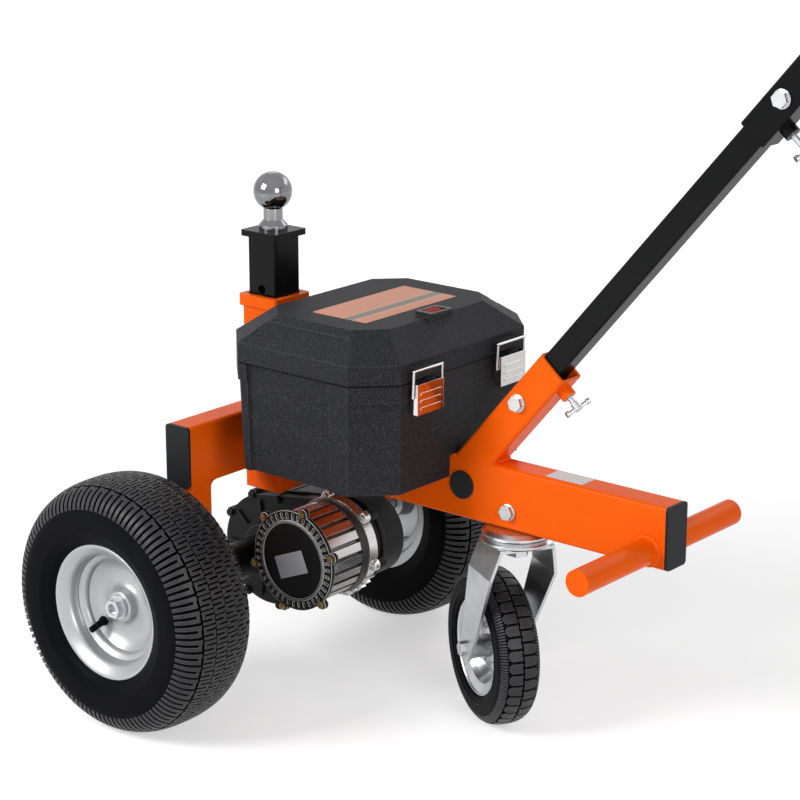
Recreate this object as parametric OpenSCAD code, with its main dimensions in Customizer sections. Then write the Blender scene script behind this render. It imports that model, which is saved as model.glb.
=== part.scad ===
// Walk-behind electric tug: a three-wheel battery mover with a hitch ball.
// Frame: +X toward the operator's handle, +Z up, the ground at Z = 0.

/* [Drive wheels] */
// Outer radius of the drive tyre
tyre_r = 165; // [150:1:175]
// Width of the drive tyre
tyre_w = 125; // [110:1:130]
// Distance from the middle of the machine to the middle of each drive tyre
half_track = 262; // [258:1:275]
// Radius of the rim's flange
rim_flange_r = 88; // [84:1:90]
// Width of the rim over its flanges
rim_w = 105; // [100:1:106]
// Radius of the half shafts
shaft_r = 10; // [9:0.5:11]

/* [Frame] */
// Width of the main beam
beam_w = 40; // [38:1:42]
// Height of the main beam
beam_h = 78; // [74:1:80]
// Wall of the frame tubes
beam_wall = 3; // [2.5:0.5:4]
// Height of the main beam's top face
beam_top_z = 364.5; // [362:0.5:368]
// End of the main beam, over its cap
beam_end_x = 639; // [625:1:650]
// Middle of the ball post and of the cross beam, ahead of the axle
post_x = 7.5; // [4:0.5:10]
// Half the length of the cross beam, over its plugs
cross_half = 185; // [182:1:188]
// Height of the cross beam's top face
cross_top_z = 380; // [376:1:382]
// Outside size of the square post sleeve
sleeve_w = 60; // [58:1:62]
// Radius of the foot peg bar
peg_r = 16; // [14:1:17]

/* [Hitch] */
// Outside size of the ball post
post_w = 48; // [46:1:49]
// Height of the top plate's upper face
plate_z = 603; // [595:1:610]
// Diameter of the hitch ball
ball_d = 50.8; // [50:0.1:50.8]
// Height of the ball's centre over the top plate
ball_rise = 49.6; // [46:0.1:54]

/* [Handle] */
// Angle of the handle above the ground
handle_angle = 49.4; // [48:0.2:51]
// Handle bolt, ahead of the axle
bolt_x = 419; // [415:1:423]
// Height of the handle bolt
bolt_z = 450; // [446:1:454]
// Outside size of the lower handle tube
lower_w = 30; // [28:1:30]
// Outside size of the upper handle tube
upper_w = 38; // [37:1:40]
// Distance along the handle from its bolt to the mouth of the upper tube
upper_s = 473; // [465:1:480]
// Distance along the handle from its bolt to the handlebar
bar_s = 748; // [735:1:755]
// Length of the handlebar
bar_len = 540; // [500:5:560]

/* [Battery box] */
// Rear face of the battery box at its seam
box_x0 = 54; // [52:1:58]
// Front face of the battery box at its seam
box_x1 = 322; // [316:1:322]
// Half the width of the battery box at its seam
box_half = 167; // [160:1:168]
// Height of the seam between box and lid
seam_z = 476; // [474:1:480]
// Underside of the battery box
box_z = 337; // [334:1:340]
// Top of the lid
lid_z = 533; // [530:1:538]

/* [Transaxle] */
// Teeth of the motor pinion
pinion_teeth = 11; // [11:1:11]
// Teeth of the idler's large gear
idler_teeth = 61; // [61:1:61]
// Teeth of the idler's small gear
second_teeth = 14; // [14:1:14]
// Teeth of the final gear
final_teeth = 67; // [67:1:67]
// Radius of the motor shell
motor_r = 61; // [58:1:62]

/* [Caster] */
// Swivel axis, ahead of the axle
caster_x = 408; // [404:1:412]
// Distance from the swivel axis back to the caster's wheel
caster_trail = 75; // [70:1:80]
// Radius of the caster tyre
caster_r = 102; // [98:1:104]
// Width of the caster tyre
caster_w = 56; // [52:1:58]
// Turn of the caster seen from above
caster_yaw = -30; // [-40:1:0]

/* [Hidden] */
$fn = 48;

orange = "#e8590c";
black = "#202124";
zinc = "#c9ccd0";

// Clearances
running = 0.05;
body_gap = 0.5;
eps = 0.5;
arc_steps = 36;

// Frame places derived from the driving sizes
beam_bottom_z = beam_top_z - beam_h;
beam_mid_z = beam_top_z - beam_h / 2;
cap_t = 4;
plug_depth = 22;
cap_depth = 7;
plug_wall = 2.5;
cross_h = 80;
cross_bottom_z = cross_top_z - cross_h;
sleeve_wall = 5;
sleeve_bottom_z = 256.5;
collar_w = 67;
collar_h = 15;
collar_top_z = 518.5;
leg_w = 42;
leg_y = cross_half - leg_w / 2;
axle_z = tyre_r;
axle_tube_r = 25;
tube_flange_out = 11;
saddle_t = 7;
saddle_half_x = 40;
saddle_margin = 7;
saddle_z = axle_z + axle_tube_r;
corner_r = 5;
peg_in = 28;
peg_x = beam_end_x - peg_in;
peg_z = 307;
peg_half = 160;
weld_r = 4;
hole_plug_r = 18;
hole_plug_x = 336;
hole_plug_z = 330;
stem_r = 12.5;
cross_bolt_z = 310;
cross_bolt_r = 5;

// Hitch places
post_wall = 4;
post_corner = 4;
plate_corner = 2;
post_bottom_z = 330;
plate_w = 60;
plate_t = 8;
pin_r = 6;
pin_hole_r = 6.3;
pin_pitch = 50;
top_hole_z = 526;
pin_z = top_hole_z - 2 * pin_pitch;
shank_r = 9.5;
ball_z = plate_z + ball_rise;
nut_af = 28;
nut_t = 14;

// Handle places
bolt_r = 5;
lower_wall = 2.5;
lower_start = -60;
lower_end = 690;
receiver_w = 38;
receiver_h = 45;
receiver_wall = 3.5;
receiver_mouth = 71;
receiver_drop = 4;
receiver_start = -150;
boss_r = 9.5;
boss_len = 11;
receiver_boss_s = 52;
sleeve_boss_s = 502;
sleeve_bolt_s = 530;
upper_wall = 3.4;
upper_corner = 4;
bar_wall = 2;
slide_travel = 120;
screw_r = 4;
screw_len = 38;
tee_up = 1;
screw_gap = 0.3;
tee_len = 34;
bar_r = 12.5;
grip_r = 16.5;
grip_len = 125;
head_len_u = 62;
head_len_y = 104;
head_h = 44;
head_low = 2;
throttle_y = 26;
throttle_r = 4;
throttle_down = 9;
throttle_z = head_h - throttle_down;
rocker_y = -24;
rocker_half = 10;
rocker_sink = 3;

// Battery box places
box_wall = 3.5;
box_chamfer = 45;
box_draft = 5;
channel_gap = 1.5;
channel_half = beam_w / 2 + channel_gap;
channel_top_z = beam_top_z + body_gap;
band_h = 22;
band_step = 2;
rear_pillar = 14;
front_pillar = 32;
panel_deep = 4.5;
skirt_h = 25;
lid_inset = 42;
rocker_x = 274;
switch_pin_r = 1.5;
bezel_half_x = 13;
bezel_half_y = 20;
bezel_h = 4;
bezel_t = 9.5;
switch_drop = 1;
battery_gap = 30;
battery_x = 181;
battery_y = 77;
battery_z = 167;

// Latch places, given for the front pair
latch_in = 40;
latch_y = box_half - box_chamfer - latch_in;
latch_w = 50;
pivot_z = 470;
pivot_out = 8.5;
bend_r = 1.8;
pivot_r = 1.6;
ear_r = 3;
bail_drop = 10;
wire_r = 1.6;
wire_gap = 0.4;
hook_z = 492;
hook_out = 10;
lever_len = 32;

// Transaxle places
stage1_module = 1.5;
stage2_module = 2;
stage1_distance = stage1_module * (pinion_teeth + idler_teeth) / 2;
stage2_distance = stage2_module * (second_teeth + final_teeth) / 2;
bell_out = 3;
motor_gap = 17.35;
motor_z = beam_bottom_z - motor_gap - bell_out - motor_r;
train_angle = asin((motor_z - axle_z) / (stage1_distance + stage2_distance));
idler_x = stage2_distance * cos(train_angle);
idler_z = axle_z + stage2_distance * sin(train_angle);
motor_x = (stage1_distance + stage2_distance) * cos(train_angle);
case_y0 = -12;
case_y1 = 50;
case_split_y = 8;
case_wall = 5;
case_big_r = 76;
case_small_r = 56;
flange_t = 15;
shell_y0 = -98;
shell_y1 = case_y0 - flange_t;
end_cap_t = 8;
end_cap_r = 66;
disc_r = 50;
lug_r = 6.5;
lug_screw_r = 2.5;
cap_step = 2;
shell_wall = 10;
lug_ring_r = 68;
lug_count = 6;
motor_shaft_r = 7;
idler_shaft_r = 7;
bearing_r = 21;
bearing_t = 12;
shaft_end_y = 294;
shaft_split_y = 28;
clamp_rod_r = 4;
rod_gap = 0.4;
clamp_reach = axle_tube_r + clamp_rod_r + rod_gap;
clamp_pitch = 27;
saddle_half_y = clamp_pitch + saddle_margin;
tube_end_y = leg_y - cap_t / 2 + saddle_half_y;
clamp_nut_af = 13;
clamp_nut_t = 6.5;

// Caster places
race_r = 45;
race_top_z = beam_bottom_z;
race_t = 9;
kingpin_r = 8;
fork_top_z = 268;
fork_t = 4;
fork_inner = 35;
fork_top_y = 32;
fork_end_r = 17;
knee_drop = 42;
fork_rear_x = -34;
fork_front_x = 32;
caster_axle_r = 6;
caster_bore_r = caster_axle_r + running;
caster_z = caster_r;

// Rim and tyre places
flange_h = 12;
seat_r = rim_flange_r - flange_h;
well_deep = 16;
skin_power = 2.7;
tread_deep = 4.5;
lug_root = 1.5;
turf_lugs = 30;
turf_shoulder = 75;
row_end = 43;
row_span = 18;
row_starts = [-39, -19, 1, 21];
lug_share = 0.5;
block_share = 0.8;
caster_seat_r = 50;
caster_flange_h = 8;
caster_flange_r = caster_seat_r + caster_flange_h;
caster_rim_half = 20;
hub_r = 22;
hub_face = 26;
axle_thread_r = 7;

// The model's bounding box is centred on X = 0
bar_x = bolt_x + bar_s * cos(handle_angle);
head_reach_x = head_len_u / 2 * cos(handle_angle) + head_low * sin(handle_angle);
x_max = bar_x + max(grip_r, head_reach_x);
place_x = (tyre_r - x_max) / 2;

module placed() translate([place_x, 0, 0]) children();

// A rectangle with round corners, centred on the origin
module round_rect(w, h, r) {
    square([w - 2 * r, h], center = true);
    square([w, h - 2 * r], center = true);
    for (sx = [-1, 1], sy = [-1, 1])
        translate([sx * (w / 2 - r), sy * (h / 2 - r)])
            circle(r);
}

// The section of a square or rectangular steel tube
module tube_section(w, h, wall, r) {
    difference() {
        round_rect(w, h, r);
        round_rect(w - 2 * wall, h - 2 * wall, r - wall / 2);
    }
}

// Turns an outline drawn in X and Z into a slab between two places along Y
module slab_y(y0, y1) {
    translate([0, y1, 0])
        rotate([90, 0, 0])
            linear_extrude(y1 - y0)
                children();
}

// A round bar along Y
module bar_y(x, z, r, y0, y1) {
    translate([x, y1, z])
        rotate([90, 0, 0])
            cylinder(h = y1 - y0, r = r);
}

// A hexagonal head or nut along Y, measured across its flats
module hex_y(x, z, af, y0, y1) {
    translate([x, y1, z])
        rotate([90, 0, 0])
            cylinder(h = y1 - y0, r = af / sqrt(3), $fn = 6);
}

// The handle's own frame: X runs up the handle from its bolt, Z points away from the operator
module on_handle() {
    translate([bolt_x, 0, bolt_z])
        rotate([0, -handle_angle, 0])
            children();
}

// The caster's own frame: X runs along its heading, Y across its wheel
module on_caster() {
    translate([caster_x, 0, 0])
        rotate([0, 0, caster_yaw])
            children();
}

// Points along an arc from one angle to another
function arc_points(x, z, r, from, to) =
    [for (i = [0 : arc_steps]) [x, z] + r * [cos(from + (to - from) * i / arc_steps),
        sin(from + (to - from) * i / arc_steps)]];

// Angle, seen from a circle's centre, at which a line from a point touches the circle
function touch_angle(centre, r, point, side) =
    atan2(point[1] - centre[1], point[0] - centre[0])
        + side * acos(r / norm(point - centre));

// Outline of a belt round two circles that lie in X and Z
module belt_outline(x1, z1, r1, x2, z2, r2) {
    heading = atan2(z2 - z1, x2 - x1);
    spread = acos((r1 - r2) / norm([x2 - x1, z2 - z1]));
    polygon(concat(
        arc_points(x1, z1, r1, heading + spread, heading + 360 - spread),
        arc_points(x2, z2, r2, heading - spread, heading + spread)));
}

// Outline of a spur gear; turn is where its first tooth points
module gear_outline(teeth, mod, turn) {
    pitch = 360 / teeth;
    dedendum_share = 1.2;
    addendum_share = 0.9;
    root_share = 0.26;
    tip_share = 0.1;
    root = mod * (teeth / 2 - dedendum_share);
    tip = mod * (teeth / 2 + addendum_share);
    polygon([for (i = [0 : teeth - 1]) for (p = [
            [root, -root_share], [tip, -tip_share], [tip, tip_share], [root, root_share]])
        p[0] * [cos(turn + pitch * (i + p[1])), sin(turn + pitch * (i + p[1]))]]);
}

// Main beam
module main_beam() placed() color(orange) {
    start_x = post_x + sleeve_w / 2;
    difference() {
        translate([start_x, 0, beam_mid_z])
            rotate([90, 0, 90])
                linear_extrude(beam_end_x - cap_t - start_x)
                    tube_section(beam_w, beam_h, beam_wall, corner_r);
        bar_y(hole_plug_x, hole_plug_z, hole_plug_r - plug_wall, -beam_w, beam_w);
        bar_y(peg_x, peg_z, peg_r, -beam_w, beam_w);
        bar_y(caster_x, cross_bolt_z, cross_bolt_r, -beam_w, beam_w);
        translate([caster_x, 0, beam_bottom_z - eps])
            cylinder(h = beam_wall + 2 * eps, r = stem_r);
    }
}

// Half of the cross beam with its leg and the saddle plate that sits on the axle tube
module cross_beam_half() {
    start_y = sleeve_w / 2;
    end_y = cross_half - cap_t;
    difference() {
        union() {
            translate([post_x, end_y, cross_top_z - cross_h / 2])
                rotate([90, 0, 0])
                    linear_extrude(end_y - start_y)
                        tube_section(beam_w, cross_h, beam_wall, corner_r);
            translate([post_x, leg_y - cap_t / 2, saddle_z + saddle_t])
                linear_extrude(cross_bottom_z + beam_wall - saddle_z - saddle_t)
                    tube_section(beam_w, leg_w - cap_t, beam_wall, corner_r);
            weld_fillet();
            translate([-saddle_half_x, leg_y - saddle_half_y - cap_t / 2, saddle_z])
                cube([2 * saddle_half_x, 2 * saddle_half_y, saddle_t]);
        }
        clamp_places()
            translate([0, 0, saddle_z - eps])
                cylinder(h = saddle_t + 2 * eps, r = clamp_rod_r + rod_gap / 2);
    }
}

// Fillet in the corner between leg and cross beam
module weld_fillet() {
    inner_y = leg_y - leg_w / 2;
    fillet = 9;
    translate([post_x + beam_w / 2 - beam_wall, inner_y, cross_bottom_z])
        rotate([90, 0, -90])
            linear_extrude(beam_w - 2 * beam_wall)
                difference() {
                    translate([0, -fillet]) square(fillet);
                    translate([fillet, -fillet]) circle(fillet);
                }
}

// The four upright rods of a pair of axle clamps
module clamp_places() {
    for (sy = [-1, 1], sx = [-1, 1])
        translate([sx * clamp_reach, leg_y - cap_t / 2 + sy * clamp_pitch, 0])
            children();
}

module cross_beam_near() placed() color(orange) mirror([0, 1, 0]) cross_beam_half();

module cross_beam_far() placed() color(orange) cross_beam_half();

// Square sleeve for the ball post, with the thick collar round its mouth
module post_sleeve() placed() color(orange) {
    difference() {
        union() {
            translate([post_x, 0, sleeve_bottom_z])
                linear_extrude(collar_top_z - sleeve_bottom_z)
                    round_rect(sleeve_w, sleeve_w, corner_r);
            translate([post_x, 0, collar_top_z - collar_h])
                linear_extrude(collar_h)
                    round_rect(collar_w, collar_w, corner_r);
        }
        translate([post_x, 0, sleeve_bottom_z - eps])
            linear_extrude(collar_top_z - sleeve_bottom_z + 2 * eps)
                square(sleeve_w - 2 * sleeve_wall, center = true);
        bar_y(post_x, pin_z, pin_hole_r, -sleeve_w, sleeve_w);
    }
}

// Inclined socket for the handle, cut level on top of the beam
module handle_receiver() placed() color(orange) {
    boss_z = -receiver_drop - receiver_h / 2;
    difference() {
        on_handle() {
            translate([receiver_start, 0, -receiver_drop])
                rotate([90, 0, 90])
                    linear_extrude(receiver_mouth - receiver_start)
                        tube_section(receiver_w, receiver_h, receiver_wall, corner_r);
            translate([receiver_boss_s, 0, boss_z - boss_len])
                cylinder(h = boss_len + receiver_wall / 2, r = boss_r);
        }
        on_handle() {
            translate([receiver_boss_s, 0, boss_z - boss_len - eps])
                cylinder(h = boss_len + receiver_h / 2, r = screw_r + running);
            bar_y(0, 0, bolt_r, -receiver_h, receiver_h);
        }
        translate([0, -beam_h, beam_top_z - 2 * beam_h])
            cube([beam_end_x, 2 * beam_h, 2 * beam_h]);
    }
}

// One round bar through the beam carries both foot pegs
module foot_peg_bar() placed() color(orange) {
    bar_y(peg_x, peg_z, peg_r, -peg_half, peg_half);
    for (side = [-1, 1])
        translate([peg_x, side * beam_w / 2, peg_z])
            rotate([-90 * side, 0, 0])
                rotate_extrude()
                    polygon([[peg_r, 0], [peg_r + weld_r, 0], [peg_r, weld_r]]);
}

// A moulded plug for the end of a rectangular tube
module tube_plug(w, h, depth) {
    inner_w = w - 2 * beam_wall;
    inner_h = h - 2 * beam_wall;
    linear_extrude(cap_t)
        round_rect(w, h, corner_r);
    translate([0, 0, -depth])
        linear_extrude(depth)
            difference() {
                round_rect(inner_w, inner_h, corner_r - beam_wall / 2);
                square([inner_w - 2 * plug_wall, inner_h - 2 * plug_wall], center = true);
            }
}

module beam_end_cap() placed() color(black) {
    translate([beam_end_x - cap_t, 0, beam_mid_z])
        rotate([90, 0, 90])
            tube_plug(beam_w, beam_h, cap_depth);
}

module cross_beam_plugs() placed() color(black) {
    for (side = [0, 1])
        mirror([0, side, 0])
            translate([post_x, cross_half - cap_t, cross_top_z - cross_h / 2])
                rotate([-90, 0, 0])
                    tube_plug(beam_w, cross_h, plug_depth);
}

module beam_hole_plugs() placed() color(black) {
    head_t = 2;
    for (side = [0, 1])
        mirror([0, side, 0])
            difference() {
                union() {
                    bar_y(hole_plug_x, hole_plug_z, hole_plug_r, beam_w / 2, beam_w / 2 + head_t);
                    bar_y(hole_plug_x, hole_plug_z, hole_plug_r - plug_wall,
                        beam_w / 2 - 2 * beam_wall, beam_w / 2 + head_t / 2);
                }
                bar_y(hole_plug_x, hole_plug_z, hole_plug_r - 2 * plug_wall,
                    beam_w / 2 - 3 * beam_wall, beam_w / 2);
            }
}

// U-shaped clamps round the axle tubes, with their nuts on the saddle plates
module axle_clamps() placed() color(zinc) {
    rod_end = 3;
    rod_top_z = saddle_z + saddle_t + clamp_nut_t + rod_end;
    for (side = [0, 1]) mirror([0, side, 0]) {
        for (sy = [-1, 1])
            translate([0, leg_y - cap_t / 2 + sy * clamp_pitch, axle_z])
                rotate([90, 0, 0])
                    rotate([0, 0, 180])
                        rotate_extrude(angle = 180)
                            translate([clamp_reach, 0])
                                circle(clamp_rod_r);
        clamp_places() {
            translate([0, 0, axle_z])
                cylinder(h = rod_top_z - axle_z, r = clamp_rod_r);
            translate([0, 0, saddle_z + saddle_t])
                cylinder(h = clamp_nut_t, r = clamp_nut_af / sqrt(3), $fn = 6);
        }
    }
}

// Outline of the gear case, drawn in X and Z
module case_outline(shrink) {
    belt_outline(0, axle_z, case_big_r - shrink, motor_x, motor_z, case_small_r - shrink);
}

// The ears of the gear case with their screw holes
module case_ears(y0, y1) {
    ear_r = 7;
    ear_out = 1;
    ring_r = case_big_r + ear_out;
    for (a = [75, 110, 150, 195, 240, 285])
        bar_y(ring_r * cos(a), axle_z + ring_r * sin(a), ear_r, y0, y1);
}

// A wall with running bores for the idler and a clear bore for the axle
module case_wall_slab(y0, y1) {
    difference() {
        union() {
            slab_y(y0, y1) case_outline(0);
            case_ears(y0, y1);
        }
        bar_y(0, axle_z, bearing_r, y0 - eps, y1 + eps);
        bar_y(idler_x, idler_z, idler_shaft_r + running, y0 - eps, y1 + eps);
    }
}

// Far half of the gear case
module gear_housing() placed() color(black) {
    rib_t = 3;
    rib_gap = 2;
    rib_r0 = axle_tube_r + tube_flange_out + rib_gap;
    rib_r1 = case_big_r - 2 * rib_t;
    case_wall_slab(case_y1 - case_wall, case_y1);
    slab_y(case_split_y, case_y1 - case_wall)
        difference() {
            case_outline(0);
            case_outline(case_wall);
        }
    case_ears(case_split_y, case_y1 - case_wall);
    for (a = [60 : 40 : 340])
        translate([0, case_y1, axle_z])
            rotate([0, -a, 0])
                translate([rib_r0, 0, -rib_t / 2])
                    cube([rib_r1 - rib_r0, rib_t, rib_t]);
}

// Near half of the gear case, which carries the motor
module gear_cover() placed() color(black) {
    shaft_gap = 6;
    difference() {
        case_wall_slab(case_y0, case_y0 + case_wall);
        bar_y(motor_x, motor_z, motor_shaft_r + shaft_gap, case_y0 - eps, case_y0 + case_wall + eps);
    }
    slab_y(case_y0 + case_wall, case_split_y)
        difference() {
            case_outline(0);
            case_outline(case_wall);
        }
    case_ears(case_y0 + case_wall, case_split_y);
}

// Ribbed drive-end bell of the motor
module motor_flange() placed() color("#b9bcbf") {
    bell_wall = 6;
    rib_root = 2;
    rib_h = 8;
    rib_t = 2.4;
    difference() {
        union() {
            bar_y(motor_x, motor_z, motor_r + bell_out, shell_y1, case_y0);
            for (a = [-150 : 10 : -30])
                translate([motor_x, shell_y1, motor_z])
                    rotate([0, -a, 0])
                        translate([motor_r - rib_root, 0, -rib_t / 2])
                            cube([rib_h, flange_t, rib_t]);
        }
        bar_y(motor_x, motor_z, motor_shaft_r + running, shell_y1 - eps, case_y0 + eps);
        bar_y(motor_x, motor_z, motor_r - bell_wall, shell_y1 - eps, case_y0 - bell_wall);
    }
}

// Axle tubes from the gear case out to the wheels
module axle_tubes() placed() color(black) {
    flange_len = 8;
    for (end = [[case_y1, tube_end_y], [-tube_end_y, case_y0]]) {
        flange_y = end[0] > 0 ? end[0] : end[1] - flange_len;
        difference() {
            union() {
                bar_y(0, axle_z, axle_tube_r, end[0], end[1]);
                bar_y(0, axle_z, axle_tube_r + tube_flange_out, flange_y, flange_y + flange_len);
            }
            bar_y(0, axle_z, bearing_r, end[0] - eps, end[1] + eps);
        }
    }
}

// Extruded motor shell with cooling ribs, and the strap over its brush openings
module motor_shell() placed() {
    rib_h = 3;
    rib_w = 11;
    band_w = 12;
    band_out = 1;
    band_y = shell_y1 - band_w;
    color("#b9bcbf")
        difference() {
            union() {
                bar_y(motor_x, motor_z, motor_r - rib_h, shell_y0, shell_y1);
                for (a = [0 : 15 : 345])
                    translate([motor_x, shell_y0, motor_z])
                        rotate([0, a, 0])
                            translate([motor_r - 2 * rib_h, 0, -rib_w / 2])
                                cube([2 * rib_h, band_y - shell_y0, rib_w]);
            }
            bar_y(motor_x, motor_z, motor_r - shell_wall, shell_y0 - eps, shell_y1 + eps);
        }
    color(black)
        difference() {
            bar_y(motor_x, motor_z, motor_r + band_out, band_y, shell_y1);
            bar_y(motor_x, motor_z, motor_r - rib_h, band_y - eps, shell_y1 + eps);
        }
}

// Places of the end cap screws round the motor
module lug_places() {
    for (i = [0 : lug_count - 1])
        translate([motor_x, 0, motor_z])
            rotate([0, -i * 360 / lug_count - 15, 0])
                translate([lug_ring_r, 0, 0])
                    children();
}

// Slotted end cap with its raised disc
module motor_end_cap() placed() color(black) {
    slots = 40;
    slot_w = 3.2;
    slot_len = 7;
    slot_out = 5.5;
    disc_rim = 3;
    disc_deep = 1.5;
    shaft_floor = 4;
    cap_y0 = shell_y0 - end_cap_t;
    difference() {
        union() {
            bar_y(motor_x, motor_z, end_cap_r, cap_y0 + cap_step, shell_y0);
            bar_y(motor_x, motor_z, disc_r + disc_rim, cap_y0, shell_y0);
            lug_places() bar_y(0, 0, lug_r, cap_y0 + cap_step, shell_y0);
        }
        bar_y(motor_x, motor_z, disc_r, cap_y0 - eps, cap_y0 + disc_deep);
        bar_y(motor_x, motor_z, motor_shaft_r + running, cap_y0 + shaft_floor, shell_y0 + eps);
        for (i = [0 : slots - 1])
            translate([motor_x, cap_y0 - eps, motor_z])
                rotate([0, i * 360 / slots, 0])
                    translate([disc_r + slot_out, 0, -slot_w / 2])
                        cube([slot_len, end_cap_t - cap_step, slot_w]);
        lug_places() bar_y(0, 0, lug_screw_r, cap_y0, shell_y0 + eps);
    }
}

module motor_screws() placed() color("#b08d3c") {
    head_af = 8;
    head_t = 4;
    head_y = shell_y0 - end_cap_t + cap_step;
    lug_places() {
        hex_y(0, 0, head_af, head_y - head_t, head_y);
        bar_y(0, 0, lug_screw_r, head_y, shell_y0);
    }
}

// Ball bearings of the half shafts, one at each end of each axle tube
module drive_bearings() placed() color(zinc) {
    inset = 2;
    for (y = [case_y1 + inset, tube_end_y - bearing_t - inset, case_y0 - bearing_t - inset,
            inset - tube_end_y])
        difference() {
            bar_y(0, axle_z, bearing_r, y, y + bearing_t);
            bar_y(0, axle_z, shaft_r + running, y - eps, y + bearing_t + eps);
        }
}

// Stem, upper race and kingpin of the caster
module caster_stem() placed() color(zinc) {
    stem_len = 62;
    edge_in = 4;
    edge_z0 = 3;
    edge_z1 = 5;
    neck_in = 7;
    kingpin_drop = 14;
    nut_out = 4;
    nut_len = 7;
    nut_r = 14;
    difference() {
        translate([caster_x, 0, 0]) {
            translate([0, 0, race_top_z]) cylinder(h = stem_len, r = stem_r);
            translate([0, 0, race_top_z - race_t])
                rotate_extrude($fn = 72)
                    polygon([[0, 0], [race_r - edge_in, 0], [race_r, edge_z0], [race_r, edge_z1],
                        [race_r - neck_in, race_t], [0, race_t]]);
            translate([0, 0, fork_top_z - kingpin_drop])
                cylinder(h = race_top_z - fork_top_z + kingpin_drop, r = kingpin_r);
            translate([0, 0, fork_top_z - kingpin_drop - nut_out])
                cylinder(h = nut_len, r = nut_r, $fn = 6);
        }
        bar_y(caster_x, cross_bolt_z, cross_bolt_r, -2 * stem_r, 2 * stem_r);
    }
}

// Cross bolt that keeps the caster stem in the beam
module stem_bolt() placed() color(zinc) {
    head_af = 17;
    head_t = 6;
    washer_t = 1.5;
    washer_r = 10.5;
    nut_len = 8;
    tail = 14;
    face = beam_w / 2;
    bar_y(caster_x, cross_bolt_z, cross_bolt_r, -face - washer_t, face + tail);
    for (y = [-face - washer_t, face])
        bar_y(caster_x, cross_bolt_z, washer_r, y, y + washer_t);
    hex_y(caster_x, cross_bolt_z, head_af, -face - washer_t - head_t, -face - washer_t);
    hex_y(caster_x, cross_bolt_z, head_af, face + washer_t, face + washer_t + nut_len);
}

// Outline of the box seen from above, drawn in by inset
module box_outline(inset, chamfer) {
    x0 = box_x0 + inset;
    x1 = box_x1 - inset;
    h = box_half - inset;
    polygon([[x0 + chamfer, -h], [x1 - chamfer, -h], [x1, chamfer - h], [x1, h - chamfer],
        [x1 - chamfer, h], [x0 + chamfer, h], [x0, h - chamfer], [x0, chamfer - h]]);
}

module box_slice(z, inset) {
    translate([0, 0, z])
        linear_extrude(eps)
            box_outline(inset, box_chamfer);
}

// Battery box with drafted walls and a channel over the beam
module battery_box() placed() color(black) {
    difference() {
        union() {
            box_body(0);
            latch_ears();
            rear_side() latch_ears();
        }
        box_body(box_wall);
        channel_cut(channel_half, channel_top_z);
    }
    intersection() {
        difference() {
            channel_cut(channel_half + box_wall, channel_top_z + box_wall);
            channel_cut(channel_half, channel_top_z);
        }
        box_body(0);
    }
}

// The box as a drafted block with a band under the seam and a sunk panel in each side, all drawn in by inset
module box_body(inset) {
    floor_z = box_z + inset;
    top_z = seam_z + (inset > 0 ? eps : 0);
    panel_x0 = box_x0 + box_chamfer + rear_pillar - inset;
    panel_x1 = box_x1 - box_chamfer - front_pillar + inset;
    panel_y = box_half - panel_deep - inset;
    difference() {
        union() {
            hull() {
                box_slice(floor_z, box_draft + inset);
                box_slice(seam_z - band_h, band_step + inset);
            }
            translate([0, 0, seam_z - band_h])
                linear_extrude(top_z - seam_z + band_h)
                    box_outline(inset, box_chamfer);
        }
        for (side = [0, 1]) mirror([0, side, 0])
            translate([panel_x0, 0, 0])
                rotate([90, 0, 90])
                    linear_extrude(panel_x1 - panel_x0)
                        polygon([[panel_y - box_draft, box_z - eps], [panel_y, top_z + eps],
                            [box_half + eps, top_z + eps], [box_half + eps, box_z - eps]]);
    }
}

// The tunnel in the floor that lets the box straddle the beam
module channel_cut(half, top_z) {
    below = 2;
    translate([0, -half, box_z - below])
        cube([box_x1 + box_wall, 2 * half, top_z - box_z + below]);
}

// Puts a copy of the front latches' shapes on the rear face of the box
module rear_side() translate([box_x0 + box_x1, 0, 0]) mirror([1, 0, 0]) children();

module latch_ears() {
    ear_t = 4;
    ear_root = 4;
    ear_in = 9;
    for (y = [-latch_y, latch_y], e = [-1, 1])
        translate([box_x1, y + e * (latch_w / 2 - ear_in), pivot_z])
            difference() {
                union() {
                    translate([-ear_root, -ear_t / 2, -2 * ear_r])
                        cube([pivot_out + ear_root, ear_t, 2 * ear_r]);
                    bar_y(pivot_out, 0, ear_r, -ear_t / 2, ear_t / 2);
                }
                bar_y(pivot_out, 0, pivot_r + running, -ear_t, ear_t);
            }
}

// Lever of a draw latch with its pivot pin
module latch_lever(y) {
    half = latch_w / 2;
    side_t = 1.5;
    side_x = -5;
    plate_x = ear_r + body_gap;
    plate_t = 2;
    top = 6;
    rib_in = 6;
    rib_w = 3;
    rib_h = 0.7;
    ribs = 3;
    rib_pitch = 9;
    translate([box_x1 + pivot_out, y, pivot_z]) {
        bar_y(0, 0, pivot_r, side_t - half, half - side_t);
        translate([plate_x, -half, -lever_len])
            cube([plate_t, latch_w, lever_len + top]);
        for (e = [-1, 1])
            difference() {
                translate([side_x, e * (half - side_t / 2) - side_t / 2, -lever_len])
                    cube([plate_x - side_x, side_t, lever_len + top]);
                bar_y(0, -bail_drop, wire_r + running, -latch_w, latch_w);
            }
        for (i = [0 : ribs - 1])
            translate([plate_x + plate_t, rib_in - half, rib_in - lever_len + i * rib_pitch])
                cube([rib_h, latch_w - 2 * rib_in, rib_w]);
    }
}

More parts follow.
